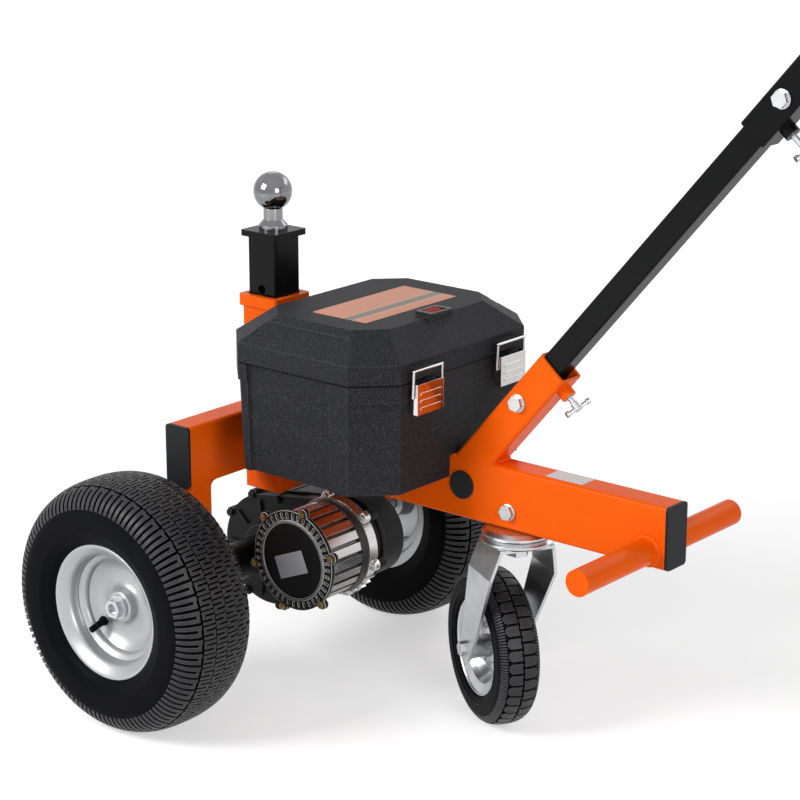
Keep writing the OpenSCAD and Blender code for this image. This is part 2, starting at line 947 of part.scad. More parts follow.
// Wire bail of a draw latch: two legs outside the lever and a top bar at the lid's catch
module latch_bail(y) {
    leg_y = latch_w / 2 + wire_r + wire_gap;
    foot_len = 4;
    foot = [box_x1 + pivot_out, pivot_z - bail_drop];
    top = [box_x1 + hook_out, hook_z];
    for (e = [-1, 1]) {
        foot_y = y + e * (leg_y - foot_len / 2);
        bar_y(foot[0], foot[1], wire_r, foot_y - foot_len / 2, foot_y + foot_len / 2);
        for (end = [foot, top])
            translate([end[0], y + e * leg_y, end[1]])
                sphere(bend_r, $fn = 24);
        wire_leg([foot[0], y + e * leg_y, foot[1]], [top[0], y + e * leg_y, top[1]]);
    }
    bar_y(top[0], top[1], wire_r, y - leg_y, y + leg_y);
}

// A straight piece of round wire between two points in one X-Z plane
module wire_leg(a, b) {
    d = b - a;
    translate(a)
        rotate([0, atan2(d[0], d[2]), 0])
            cylinder(h = norm(d), r = wire_r);
}

module latch_lever_near() placed() color(zinc) latch_lever(-latch_y);

module latch_lever_far() placed() color(zinc) latch_lever(latch_y);

module latch_bail_near() placed() color(zinc) latch_bail(-latch_y);

module latch_bail_far() placed() color(zinc) latch_bail(latch_y);

module rear_latch_levers() placed() color(zinc) {
    for (y = [-latch_y, latch_y]) rear_side() latch_lever(y);
}

module rear_latch_bails() placed() color(zinc) {
    for (y = [-latch_y, latch_y]) rear_side() latch_bail(y);
}

// Lid with a straight skirt, bevelled shoulders and a flat top
module box_lid() placed() color(black) {
    skirt_z = seam_z + skirt_h;
    top_chamfer = 33;
    well_half_x = 8.8;
    well_half_y = 14;
    pin_half = 17;
    difference() {
        union() {
            hull() {
                box_slice(seam_z, 0);
                box_slice(skirt_z - eps, 0);
                translate([0, 0, lid_z - eps])
                    linear_extrude(eps)
                        box_outline(lid_inset, top_chamfer);
            }
            lid_catches();
            rear_side() lid_catches();
            translate([rocker_x - bezel_half_x, -bezel_half_y, lid_z + bezel_h - bezel_t])
                cube([2 * bezel_half_x, 2 * bezel_half_y, bezel_t]);
        }
        hull() {
            box_slice(seam_z - 2 * eps, box_wall);
            box_slice(skirt_z - box_wall / 2, box_wall);
            translate([0, 0, lid_z - box_wall])
                linear_extrude(eps)
                    box_outline(lid_inset + box_wall / 2, top_chamfer);
        }
        translate([rocker_x - well_half_x, -well_half_y, lid_z - 3 * box_wall])
            cube([2 * well_half_x, 2 * well_half_y, 5 * box_wall]);
        bar_y(rocker_x, lid_z - switch_drop, switch_pin_r + running, -pin_half, pin_half);
        label_recess();
        for (side = [0, 1]) mirror([0, side, 0]) shoulder_recess();
    }
}

// Shallow seat for the plain panel on top of the lid
module label_recess() {
    label_len = 88;
    label_half = 89;
    label_back = 21;
    label_deep = 0.8;
    translate([rocker_x - bezel_half_x - label_back - label_len, -label_half, lid_z - label_deep])
        cube([label_len, 2 * label_half, label_deep + eps]);
}

// Shallow sunk field in the lid's sloping side
module shoulder_recess() {
    field_in = 14;
    field_w = 26;
    field_deep = 1.2;
    slope = atan2(lid_z - seam_z - skirt_h, lid_inset);
    translate([box_x0 + box_chamfer + field_in, box_half, seam_z + skirt_h])
        rotate([-slope, 0, 0])
            translate([0, -field_in - field_w, -field_deep])
                cube([box_x1 - box_x0 - 2 * box_chamfer - 2 * field_in, field_w, 2 * field_deep]);
}

// Moulded catches that the bails reach up to
module lid_catches() {
    root = 2;
    reach = 7;
    catch_top = 2;
    seam_gap = 4;
    end_gap = 5;
    lip = 2;
    for (y = [-latch_y, latch_y])
        translate([box_x1, y - latch_w / 2 + end_gap, seam_z])
            rotate([90, 0, 0])
                mirror([0, 0, 1])
                    linear_extrude(latch_w - 2 * end_gap)
                        polygon([[-root, seam_gap], [reach - lip, seam_gap],
                            [reach, seam_gap + lip], [reach, hook_z + catch_top - seam_z],
                            [-root, hook_z + catch_top - seam_z]]);
}

// Red rocker of the main switch
module rocker_switch() placed() color("#c0281c") {
    half_y = 13.4;
    half_x = 7.2;
    low = 4;
    high_end = 7;
    low_end = 3.6;
    mid = 5.2;
    pin_half = 16;
    translate([rocker_x, 0, lid_z - switch_drop]) {
        slab_y(-half_y, half_y)
            polygon([[-half_x, -low], [half_x, -low], [half_x, low_end], [0, mid],
                [-half_x, high_end]]);
        bar_y(0, 0, switch_pin_r, -pin_half, pin_half);
    }
}

module batteries() placed() color("#3a3d42") {
    post_w = 12;
    post_h = 5;
    post_in = 20;
    for (side = [-1, 1])
        translate([(box_x0 + box_x1) / 2 - battery_x / 2,
                side * (battery_y / 2 + battery_gap) - battery_y / 2, box_z + box_wall]) {
            cube([battery_x, battery_y, battery_z]);
            for (x = [post_in, battery_x - post_in - post_w])
                translate([x, battery_y / 2 - post_w / 2, battery_z])
                    cube([post_w, post_w, post_h]);
        }
}

module controller() placed() color("#8f9296") {
    len = 100;
    width = 52;
    base_h = 24;
    fin_t = 4;
    fin_h = 8;
    fin_pitch = 12;
    middle_x = 195;
    translate([middle_x - len / 2, -width / 2, channel_top_z + box_wall]) {
        cube([len, width, base_h]);
        for (x = [fin_t : fin_pitch : len - fin_t])
            translate([x, 0, base_h])
                cube([fin_t, width, fin_h]);
    }
}

// Lower handle tube, with a slot for the sleeve bolt inside the upper tube
module handle_lower() placed() color(black) {
    slot_more = 1;
    tube_corner = 3;
    slot_start = sleeve_bolt_s - slot_more;
    slot_end = sleeve_bolt_s + slide_travel + slot_more;
    slot_r = bolt_r + body_gap;
    on_handle()
        difference() {
            translate([lower_start, 0, 0])
                rotate([90, 0, 90])
                    linear_extrude(lower_end - lower_start)
                        tube_section(lower_w, lower_w, lower_wall, tube_corner);
            bar_y(0, 0, bolt_r, -lower_w, lower_w);
            for (s = [slot_start, slot_end])
                bar_y(s, 0, slot_r, -lower_w, lower_w);
            translate([slot_start, -lower_w, -slot_r])
                cube([slot_end - slot_start, 2 * lower_w, 2 * slot_r]);
        }
}

// A hex bolt with washers and nut through a tube of the given width
module through_bolt(s, w) {
    head_af = 17;
    washer_t = 1.5;
    washer_r = 11;
    head_t = 6.5;
    nut_len = 9;
    tail = 12;
    face = w / 2;
    bar_y(s, 0, bolt_r, -face - washer_t, face + tail);
    for (y = [-face - washer_t, face])
        bar_y(s, 0, washer_r, y, y + washer_t);
    hex_y(s, 0, head_af, -face - washer_t - head_t, -face - washer_t);
    hex_y(s, 0, head_af, face + washer_t, face + washer_t + nut_len);
}

module receiver_bolt() placed() color(zinc) on_handle() through_bolt(0, receiver_w);

module sleeve_bolt() placed() color(zinc) on_handle() through_bolt(sleeve_bolt_s, upper_w);

// Clamp screw with a sliding cross bar, below the handle
module tee_screw(s, from_z) {
    collar_r = 5.5;
    collar_len = 10;
    collar_below = 4;
    bar_r_thin = 2.5;
    knob_r = 3.8;
    knob_len = 4;
    bar_turn = 55;
    translate([s, 0, from_z - screw_len]) {
        cylinder(h = screw_len, r = screw_r);
        translate([0, 0, -collar_below]) cylinder(h = collar_len, r = collar_r);
        rotate([0, 90, bar_turn])
            translate([tee_up, 0, -tee_len / 2]) {
                cylinder(h = tee_len, r = bar_r_thin);
                for (e = [0, tee_len - knob_len])
                    translate([0, 0, e]) cylinder(h = knob_len, r = knob_r);
            }
    }
}

module receiver_screw() placed() color(zinc) on_handle() {
    tee_screw(receiver_boss_s, -lower_w / 2 - screw_gap);
}

module sleeve_screw() placed() color(zinc) on_handle() {
    tee_screw(sleeve_boss_s, -lower_w / 2 - screw_gap);
}

// Upper handle tube with its clamp boss
module handle_upper() placed() color(black) {
    on_handle()
        difference() {
            union() {
                translate([upper_s, 0, 0])
                    rotate([90, 0, 90])
                        linear_extrude(bar_s - upper_s)
                            tube_section(upper_w, upper_w, upper_wall, upper_corner);
                translate([sleeve_boss_s, 0, -upper_w / 2 - boss_len])
                    cylinder(h = boss_len + upper_wall / 2, r = boss_r);
            }
            translate([sleeve_boss_s, 0, -upper_w / 2 - boss_len - eps])
                cylinder(h = boss_len + upper_wall + 2 * eps, r = screw_r + running);
            bar_y(sleeve_bolt_s, 0, bolt_r, -upper_w, upper_w);
            bar_y(bar_s, 0, bar_r, -upper_w, upper_w);
        }
}

// Handlebar across the top of the handle
module handlebar() placed() color(black) {
    on_handle()
        difference() {
            bar_y(bar_s, 0, bar_r, -bar_len / 2, bar_len / 2);
            bar_y(bar_s, 0, bar_r - bar_wall, -bar_len / 2 - eps, bar_len / 2 + eps);
        }
}

module handlebar_grips() placed() color("#2b2b2d") {
    rings = 8;
    ring_pitch = 14;
    ring_len = 8;
    ring_deep = 1.5;
    first_ring = 6;
    end_t = 3;
    start_y = bar_len / 2 - grip_len;
    on_handle()
        for (side = [0, 1]) mirror([0, side, 0])
            difference() {
                union() {
                    bar_y(bar_s, 0, grip_r - ring_deep, start_y, bar_len / 2 + end_t);
                    for (i = [0 : rings - 1])
                        bar_y(bar_s, 0, grip_r, start_y + first_ring + i * ring_pitch,
                            start_y + first_ring + ring_len + i * ring_pitch);
                    bar_y(bar_s, 0, grip_r, start_y, start_y + end_t);
                }
                bar_y(bar_s, 0, bar_r, start_y - eps, bar_len / 2);
            }
}

// Control head clamped on the middle of the handlebar
module control_head() placed() color("#2e3033") {
    front_chamfer_x = 12;
    front_chamfer_z = 14;
    rear_chamfer = 8;
    switch_half_x = 11;
    switch_half_y = 7;
    switch_deep = 8;
    lever_half = 12;
    lever_deep = 15;
    pin_more = 4;
    half_u = head_len_u / 2;
    on_handle()
        difference() {
            translate([bar_s, 0, 0])
                slab_y(-head_len_y / 2, head_len_y / 2)
                    polygon([[-half_u, -head_low], [half_u, -head_low],
                        [half_u, head_h - front_chamfer_z], [half_u - front_chamfer_x, head_h],
                        [rear_chamfer - half_u, head_h], [-half_u, head_h - rear_chamfer]]);
            bar_y(bar_s, 0, bar_r, -head_len_y, head_len_y);
            translate([bar_s - head_len_u, -upper_w / 2, -upper_w])
                cube([head_len_u, upper_w, upper_w * 3 / 2]);
            translate([bar_s - switch_half_x, rocker_y - switch_half_y, head_h - switch_deep])
                cube([2 * switch_half_x, 2 * switch_half_y, head_h]);
            bar_y(bar_s, head_h - rocker_sink, switch_pin_r + running, rocker_y - rocker_half,
                rocker_y + rocker_half);
            translate([bar_s - lever_half, throttle_y - lever_half, head_h - lever_deep])
                cube([2 * lever_half, 2 * lever_half, head_h]);
            bar_y(bar_s, throttle_z, throttle_r + running, throttle_y - lever_half - pin_more,
                throttle_y + lever_half + pin_more);
        }
}

// Forward and reverse rocker on the control head
module direction_switch() placed() color("#1a1a1c") {
    half_y = 6.5;
    half_x = 10;
    below = 2;
    end_h = 6.5;
    mid_h = 4.6;
    pin_half = 9;
    on_handle()
        translate([bar_s, rocker_y, head_h - rocker_sink]) {
            slab_y(-half_y, half_y)
                polygon([[-half_x, -below], [half_x, -below], [half_x, end_h], [0, mid_h],
                    [-half_x, end_h]]);
            bar_y(0, 0, switch_pin_r, -pin_half, pin_half);
        }
}

// Thumb lever that sets the speed
module throttle_lever() placed() color("#c0281c") {
    half_y = 11;
    pin_half = 15;
    root = 3;
    blade = [-1, 22];
    tip = [-6, 25];
    heel = [-8, 21];
    on_handle()
        translate([bar_s, throttle_y, throttle_z]) {
            bar_y(0, 0, throttle_r, -pin_half, pin_half);
            slab_y(-half_y, half_y)
                polygon([[-root, 0], [root, 0], blade, tip, heel]);
        }
}

// Inner square post with its top plate and pin holes
module ball_post() placed() color(black) {
    difference() {
        union() {
            translate([post_x, 0, post_bottom_z])
                linear_extrude(plate_z - plate_t - post_bottom_z)
                    tube_section(post_w, post_w, post_wall, post_corner);
            translate([post_x, 0, plate_z - plate_t])
                linear_extrude(plate_t)
                    round_rect(plate_w, plate_w, plate_corner);
        }
        for (i = [0 : 3])
            bar_y(post_x, top_hole_z - i * pin_pitch, pin_hole_r, -post_w, post_w);
        translate([post_x, 0, plate_z - plate_t - eps])
            cylinder(h = plate_t + 2 * eps, r = shank_r);
    }
}

// Hitch ball with its shank, and the nut below the plate
module hitch_ball() placed() color(zinc) {
    ball_r = ball_d / 2;
    neck_r = 12.7;
    collar_r = 19;
    collar_edge = 2;
    collar_t = 8;
    neck_rise = 5;
    neck_in = 3;
    flat_cut = 1.2;
    shank_below = 6;
    translate([post_x, 0, 0]) {
        rotate_extrude($fn = 72)
            difference() {
                union() {
                    translate([0, ball_z]) circle(ball_r, $fn = 96);
                    polygon([[0, plate_z], [collar_r, plate_z],
                        [collar_r, plate_z + collar_t - collar_edge],
                        [collar_r - collar_edge, plate_z + collar_t],
                        [neck_r, plate_z + collar_t + neck_rise],
                        [neck_r, ball_z - ball_r + neck_in], [0, ball_z]]);
                }
                translate([-2 * ball_r, plate_z - ball_r]) square([2 * ball_r, 4 * ball_r]);
                translate([-eps, ball_z + ball_r - flat_cut]) square(ball_r);
            }
        translate([0, 0, plate_z - plate_t - nut_t - shank_below])
            cylinder(h = nut_t + plate_t + shank_below, r = shank_r);
        translate([0, 0, plate_z - plate_t - nut_t])
            cylinder(h = nut_t, r = nut_af / sqrt(3), $fn = 6);
    }
}

// Pin that sets the height of the ball post, with its pull ring
module post_pin() placed() color(zinc) {
    ring_r = 11;
    ring_wire_r = 1.6;
    tip_out = 14;
    head_r = 9;
    head_gap = 1;
    head_t = 8;
    head_y = -sleeve_w / 2 - head_gap;
    bar_y(post_x, pin_z, pin_r, head_y - head_t / 2, sleeve_w / 2 + tip_out);
    bar_y(post_x, pin_z, head_r, head_y - head_t, head_y);
    translate([post_x, head_y - head_t - ring_r, pin_z])
        rotate([90, 0, 90])
            rotate_extrude()
                translate([ring_r, 0])
                    circle(ring_wire_r);
}

// Motor armature, with the pinion cut on its shaft
module armature() placed() color("#a05a2c") {
    gear_y0 = -2;
    gear_len = 18;
    core_r = 40;
    core_len = 38;
    core_y = shell_y0 + shell_wall + cap_step;
    commutator_r = 20;
    commutator_len = 10;
    commutator_y = core_y + core_len + cap_step;
    tail = 3;
    bar_y(motor_x, motor_z, motor_shaft_r, shell_y0 - tail, gear_y0);
    bar_y(motor_x, motor_z, core_r, core_y, core_y + core_len);
    bar_y(motor_x, motor_z, commutator_r, commutator_y, commutator_y + commutator_len);
    slab_y(gear_y0, gear_y0 + gear_len)
        translate([motor_x, motor_z])
            gear_outline(pinion_teeth, stage1_module, train_angle + 180);
}

// Idler: large gear, small gear and their shaft
module idler_gear() placed() color("#8c8f93") {
    half_tooth = 180 / idler_teeth;
    gear_len = 14;
    small_len = 25;
    end_gap = 1;
    bar_y(idler_x, idler_z, idler_shaft_r, case_y0 + end_gap, case_y1 - end_gap);
    slab_y(0, gear_len)
        translate([idler_x, idler_z])
            gear_outline(idler_teeth, stage1_module, train_angle + half_tooth);
    slab_y(gear_len, gear_len + small_len)
        translate([idler_x, idler_z])
            gear_outline(second_teeth, stage2_module, train_angle + 180);
}

// Final gear on its carrier hub
module final_gear() placed() color("#8c8f93") {
    half_tooth = 180 / final_teeth;
    hub_r = 20;
    gear_len = 18;
    end_gap = 1;
    hole_r = 11;
    hole_ring_r = 44;
    gear_y = shaft_split_y - gear_len / 2;
    difference() {
        union() {
            slab_y(gear_y, gear_y + gear_len)
                translate([0, axle_z])
                    gear_outline(final_teeth, stage2_module, train_angle + half_tooth);
            bar_y(0, axle_z, hub_r, case_y0 + end_gap, case_y1 - end_gap);
        }
        bar_y(0, axle_z, shaft_r + running, case_y0, case_y1);
        for (a = [0 : 60 : 300])
            bar_y(hole_ring_r * cos(a), axle_z + hole_ring_r * sin(a), hole_r, gear_y - eps,
                gear_y + gear_len + eps);
    }
}

module half_shaft(y0, y1) {
    thread_len = 18;
    bar_y(0, axle_z, shaft_r, y0, y1 - thread_len);
    bar_y(0, axle_z, axle_thread_r, y1 - thread_len, y1);
}

module half_shaft_near() placed() color(zinc) mirror([0, 1, 0]) {
    half_shaft(body_gap - shaft_split_y, shaft_end_y);
}

module half_shaft_far() placed() color(zinc) half_shaft(shaft_split_y + body_gap, shaft_end_y);

// Section of the drive wheel's rim: radius against distance out from the tyre's middle
module rim_section() {
    w = rim_w / 2;
    well_r = seat_r - well_deep;
    sheet = 3;
    flange_in = 6;
    seat_in = 18;
    slope_in = 17;
    slope_len = 8;
    disc_r = 46;
    disc_y = 12;
    disc_edge = 20;
    hub_y = 16;
    hub_end = -18;
    polygon([
        [rim_flange_r, w], [rim_flange_r - sheet, w], [seat_r - sheet, w - flange_in],
        [seat_r - sheet, w - slope_in], [well_r - sheet, w - slope_in - slope_len],
        [well_r - sheet, disc_edge], [disc_r, disc_y], [hub_r, hub_y], [hub_r, hub_face],
        [shaft_r, hub_face], [shaft_r, hub_end], [hub_r, hub_end], [hub_r, hub_y - sheet],
        [disc_r, disc_y - sheet], [well_r - sheet, disc_edge - 2 * sheet],
        [well_r - sheet, slope_in + slope_len - w], [seat_r - sheet, slope_in - w],
        [seat_r - sheet, flange_in - w], [rim_flange_r - sheet, -w], [rim_flange_r, -w],
        [rim_flange_r, sheet - w], [seat_r, flange_in - w], [seat_r, seat_in - w],
        [well_r, seat_in + slope_len - w], [well_r, w - seat_in - slope_len],
        [seat_r, w - seat_in], [seat_r, w - flange_in], [rim_flange_r, w - sheet]
    ]);
}

// Lathes a wheel section about the drive axle at the far side
module at_far_wheel() {
    translate([0, half_track, axle_z])
        rotate([-90, 0, 0])
            children();
}

module drive_rim() {
    at_far_wheel()
        rotate_extrude($fn = 96)
            rim_section();
}

module rim_near() placed() color("#c8cace") mirror([0, 1, 0]) drive_rim();

module rim_far() placed() color("#c8cace") drive_rim();

// Reach of a tyre's skin from the middle of its section, at an angle from the crown
function skin_reach(a, half_w, half_h) =
    pow(pow(abs(cos(a)) / half_h, skin_power) + pow(abs(sin(a)) / half_w, skin_power),
        -1 / skin_power);

// Point of a tyre's section that lies deep below the skin: radius, then distance along the axle
function skin_point(a, half_w, half_h, mid, deep) =
    [mid, 0] + (skin_reach(a, half_w, half_h) - deep) * [cos(a), sin(a)];

// Hollow tyre section between a bead radius and an outer radius. The skin lies deep lower as far as the
// shoulder angle, where the tread's lugs stand on it
module tyre_section(r_in, r_out, w, wall, rim_half, flange_r, deep, shoulder) {
    step = 5;
    coarse = 15;
    seat_in = 6;
    mid = (r_in + r_out) / 2;
    half_h = (r_out - r_in) / 2;
    difference() {
        polygon([for (a = [-180 : step : 180 - step]) if (abs(a) >= shoulder - step || a % coarse == 0)
            skin_point(a, w / 2, half_h, mid, abs(a) < shoulder ? deep : 0)]);
        polygon([for (a = [-180 : 2 * step : 180 - 2 * step])
            skin_point(a, w / 2, half_h, mid, wall)]);
        for (side = [0, 1]) mirror([0, side])
            translate([0, rim_half - seat_in])
                square([flange_r + body_gap, w]);
    }
}

// A tread lug: a stretch of the skin between two angles from the crown, span degrees long round the wheel
module tyre_lug(from, to, span, steps, r_in, r_out, w, deep) {
    mid = (r_in + r_out) / 2;
    half_h = (r_out - r_in) / 2;
    rotate([0, 0, -span / 2])
        rotate_extrude(angle = span)
            polygon(concat(
                [for (i = [0 : steps]) skin_point(from + (to - from) * i / steps, w / 2, half_h, mid, 0)],
                [for (a = [to, from]) skin_point(a, w / 2, half_h, mid, deep + lug_root)]));
}

// Turf tread: four staggered rows of blocks with a row of long lugs on each shoulder
module turf_tread() {
    pitch = 360 / turf_lugs;
    shift = pitch / 4;
    long_steps = 3;
    block_steps = 1;
    for (i = [0 : turf_lugs - 1]) {
        for (side = [-1, 1])
            rotate([0, 0, pitch * i + side * shift])
                tyre_lug(side * row_end, side * turf_shoulder, pitch * lug_share, long_steps, seat_r,
                    tyre_r, tyre_w, tread_deep);
        for (row = [0 : len(row_starts) - 1])
            rotate([0, 0, pitch * (i + (row % 2) / 2)])
                tyre_lug(row_starts[row], row_starts[row] + row_span, pitch * block_share, block_steps,
                    seat_r, tyre_r, tyre_w, tread_deep);
    }
}

module drive_tyre() {
    tyre_wall = 10;
    at_far_wheel() {
        rotate_extrude($fn = 96)
            tyre_section(seat_r, tyre_r, tyre_w, tyre_wall, rim_w / 2, rim_flange_r, tread_deep,
                turf_shoulder);
        turf_tread();
    }
}

module tyre_near() placed() color("#19191b") mirror([0, 1, 0]) drive_tyre();

module tyre_far() placed() color("#19191b") drive_tyre();

module axle_nut_half() {
    face_y = half_track + hub_face;
    washer_r = 15;
    washer_t = 2.5;
    nut_across = 22;
    nut_len = 9.5;
    end_y = face_y + washer_t + nut_len;
    difference() {
        union() {
            bar_y(0, axle_z, washer_r, face_y, face_y + washer_t);
            hex_y(0, axle_z, nut_across, face_y + washer_t, end_y);
        }
        bar_y(0, axle_z, axle_thread_r, face_y - eps, end_y + eps);
    }
}

module axle_nut_near() placed() color(zinc) mirror([0, 1, 0]) axle_nut_half();

module axle_nut_far() placed() color(zinc) axle_nut_half();

// Pressed fork of the caster with its lower race
module caster_fork() placed() color(zinc) on_caster() {
    edge_in = 3;
    edge_out = 1;
    edge_z0 = 3;
    edge_z1 = 5;
    neck_in = 4;
    race_h = race_top_z - race_t - body_gap - fork_top_z;
    difference() {
        union() {
            translate([0, 0, fork_top_z])
                rotate_extrude($fn = 72)
                    polygon([[0, 0], [race_r - edge_in, 0], [race_r + edge_out, edge_z0],
                        [race_r + edge_out, edge_z1], [race_r - neck_in, race_h], [0, race_h]]);
            translate([fork_rear_x, -fork_top_y - fork_t, fork_top_z - fork_t])
                cube([fork_front_x - fork_rear_x, 2 * (fork_top_y + fork_t), fork_t]);
            for (side = [0, 1]) mirror([0, side, 0]) fork_leg();
        }
        translate([0, 0, fork_top_z - 2 * fork_t])
            cylinder(h = race_top_z - fork_top_z, r = kingpin_r + running);
    }
}

// A fork leg pressed from sheet: it flares out to a knee, then closes in to the axle
module fork_leg() {
    knee_out = 6;
    knee_y = fork_inner + knee_out;
    straight_rise = 24;
    low_z = caster_z - 2 * fork_end_r;
    knee_z = fork_top_z - knee_drop;
    straight_z = caster_z + straight_rise;
    intersection() {
        slab_y(0, 2 * knee_y)
            difference() {
                fork_leg_outline();
                translate([-caster_trail, caster_z]) circle(caster_axle_r);
            }
        translate([-2 * caster_trail, 0, 0])
            rotate([90, 0, 90])
                linear_extrude(4 * caster_trail)
                    polygon([[fork_top_y, fork_top_z], [knee_y, knee_z], [fork_inner, straight_z],
                        [fork_inner, low_z], [fork_inner + fork_t, low_z],
                        [fork_inner + fork_t, straight_z], [knee_y + fork_t, knee_z],
                        [fork_top_y + fork_t, fork_top_z]]);
    }
}

// Side view of a fork leg: wide at the race, round at the axle
module fork_leg_outline() {
    knee_x = 20;
    knee = [knee_x, fork_top_z - knee_drop];
    heel = [fork_rear_x, fork_top_z];
    axle = [-caster_trail, caster_z];
    polygon(concat([heel],
        arc_points(axle[0], axle[1], fork_end_r, touch_angle(axle, fork_end_r, heel, 1),
            360 + touch_angle(axle, fork_end_r, knee, -1)),
        [knee, [fork_front_x, fork_top_z]]));
}

module caster_axle() placed() color(zinc) on_caster() {
    outer = fork_inner + fork_t;
    head_af = 17;
    head_t = 7;
    tail = 10;
    bar_y(-caster_trail, caster_z, caster_axle_r, -outer, outer + tail);
    hex_y(-caster_trail, caster_z, head_af, -outer - head_t, -outer);
    hex_y(-caster_trail, caster_z, head_af, outer, outer + head_t);
}

// Split rim of the caster wheel with its hub
module caster_rim() placed() color(zinc) on_caster() {
    half = caster_rim_half;
    sheet = 2;
    hub_gap = 1;
    hub_end = fork_inner - hub_gap;
    tube_r = 15;
    cone_in = 6;
    cone_len = 8;
    cone_r = caster_seat_r - cone_in;
    disc_r = cone_r - cone_len;
    cone_y = 12;
    flange_rise = 4;
    bolt_af = 10;
    bolt_in = 6;
    bolt_ring_r = disc_r - bolt_in;
    bolt_face = 3.5;
    bolt_end = 9;
    translate([-caster_trail, 0, caster_z]) {
        rotate([-90, 0, 0])
            rotate_extrude($fn = 72)
                polygon([
                    [caster_bore_r, -hub_end], [tube_r, -hub_end], [tube_r, -3 * sheet],
                    [disc_r, -sheet], [cone_r, -cone_y], [caster_seat_r - sheet, sheet - half],
                    [caster_flange_r, -half], [caster_flange_r, sheet - half],
                    [caster_seat_r, flange_rise - half], [cone_r + sheet, sheet - cone_y],
                    [cone_r + sheet, cone_y - sheet], [caster_seat_r, half - flange_rise],
                    [caster_flange_r, half - sheet], [caster_flange_r, half],
                    [caster_seat_r - sheet, half - sheet], [cone_r, cone_y], [disc_r, sheet],
                    [tube_r, 3 * sheet], [tube_r, hub_end], [caster_bore_r, hub_end]]);
        for (a = [45 : 90 : 315], face = [-bolt_end, bolt_face])
            hex_y(bolt_ring_r * cos(a), bolt_ring_r * sin(a), bolt_af, face,
                face + bolt_end - bolt_face);
    }
}

module caster_tyre() placed() color("#19191b") on_caster() {
    tyre_wall = 8;
    seat_more = 2;
    deep = 3.5;
    shoulder = 60;
    block_in = 4;
    block_count = 32;
    share = 0.7;
    long_steps = 3;
    pitch = 360 / block_count;
    shift = pitch / 4;
    translate([-caster_trail, 0, caster_z])
        rotate([-90, 0, 0]) {
            rotate_extrude($fn = 72)
                tyre_section(caster_seat_r, caster_r, caster_w, tyre_wall,
                    caster_rim_half + seat_more, caster_flange_r, deep, shoulder);
            for (i = [0 : block_count - 1], side = [-1, 1])
                rotate([0, 0, pitch * i + side * shift])
                    tyre_lug(side * block_in, side * shoulder, pitch * share, long_steps,
                        caster_seat_r, caster_r, caster_w, deep);
        }
}

main_beam();
cross_beam_near();
cross_beam_far();
post_sleeve();
handle_receiver();
foot_peg_bar();
beam_end_cap();
cross_beam_plugs();
beam_hole_plugs();
axle_clamps();
gear_housing();
gear_cover();
motor_flange();
axle_tubes();
motor_shell();
motor_end_cap();
motor_screws();
drive_bearings();
caster_stem();
stem_bolt();
battery_box();
batteries();
controller();
handle_lower();
receiver_bolt();
ball_post();
hitch_ball();
post_pin();
armature();
idler_gear();
final_gear();
half_shaft_near();
half_shaft_far();
rim_near();
rim_far();
tyre_near();
tyre_far();
axle_nut_near();
axle_nut_far();
caster_fork();
caster_axle();
caster_rim();
caster_tyre();
box_lid();
rocker_switch();
latch_lever_near();
latch_lever_far();
latch_bail_near();
latch_bail_far();
rear_latch_levers();
rear_latch_bails();
handle_upper();
handlebar();
handlebar_grips();
sleeve_bolt();
receiver_screw();
sleeve_screw();
control_head();
direction_switch();
throttle_lever();
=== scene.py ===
import math

import bmesh
import bpy
import numpy as np
from mathutils import Matrix, Vector


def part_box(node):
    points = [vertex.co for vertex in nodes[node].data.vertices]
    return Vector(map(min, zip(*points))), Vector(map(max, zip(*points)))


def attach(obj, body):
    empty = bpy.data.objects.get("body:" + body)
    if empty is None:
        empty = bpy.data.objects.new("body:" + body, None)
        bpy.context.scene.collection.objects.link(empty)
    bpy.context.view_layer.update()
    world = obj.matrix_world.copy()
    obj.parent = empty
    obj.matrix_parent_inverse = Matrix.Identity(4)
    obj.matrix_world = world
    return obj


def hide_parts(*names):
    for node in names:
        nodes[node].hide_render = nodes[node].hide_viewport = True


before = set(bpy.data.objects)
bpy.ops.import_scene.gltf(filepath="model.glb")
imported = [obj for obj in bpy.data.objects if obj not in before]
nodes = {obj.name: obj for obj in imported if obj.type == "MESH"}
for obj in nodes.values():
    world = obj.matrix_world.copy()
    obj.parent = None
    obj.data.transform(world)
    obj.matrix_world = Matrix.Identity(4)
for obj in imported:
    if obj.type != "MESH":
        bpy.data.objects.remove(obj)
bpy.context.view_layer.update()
mm = 0.001
scene = bpy.context.scene


def placed(name, data):
    """A new object in the scene."""
    made = bpy.data.objects.new(name, data)
    scene.collection.objects.link(made)
    return made


# The studio.
# A pale floor that turns white away from the machine, under three soft lamps. The camera stands on the near
# side, a little above the machine, with a long lens.
axle_lo, axle_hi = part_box("axle_nut_near")
axle = Vector(((axle_lo.x + axle_hi.x) / 2, 0, (axle_lo.z + axle_hi.z) / 2))

lens_mm, sensor_mm, sight = 108.06, 36, 60
stand_off = Vector((2.073, -2.232, 1.101))
tilt_down, turn_left = math.radians(16.4), math.radians(39.7)
camera_data = bpy.data.cameras.new("photo_camera")
camera_data.lens, camera_data.sensor_width, camera_data.clip_end = lens_mm, sensor_mm, sight
camera = placed("photo_camera", camera_data)
camera.location = axle + stand_off
camera.rotation_euler = (math.radians(90) - tilt_down, 0, turn_left)
scene.camera = camera
scene.view_settings.view_transform = "Standard"


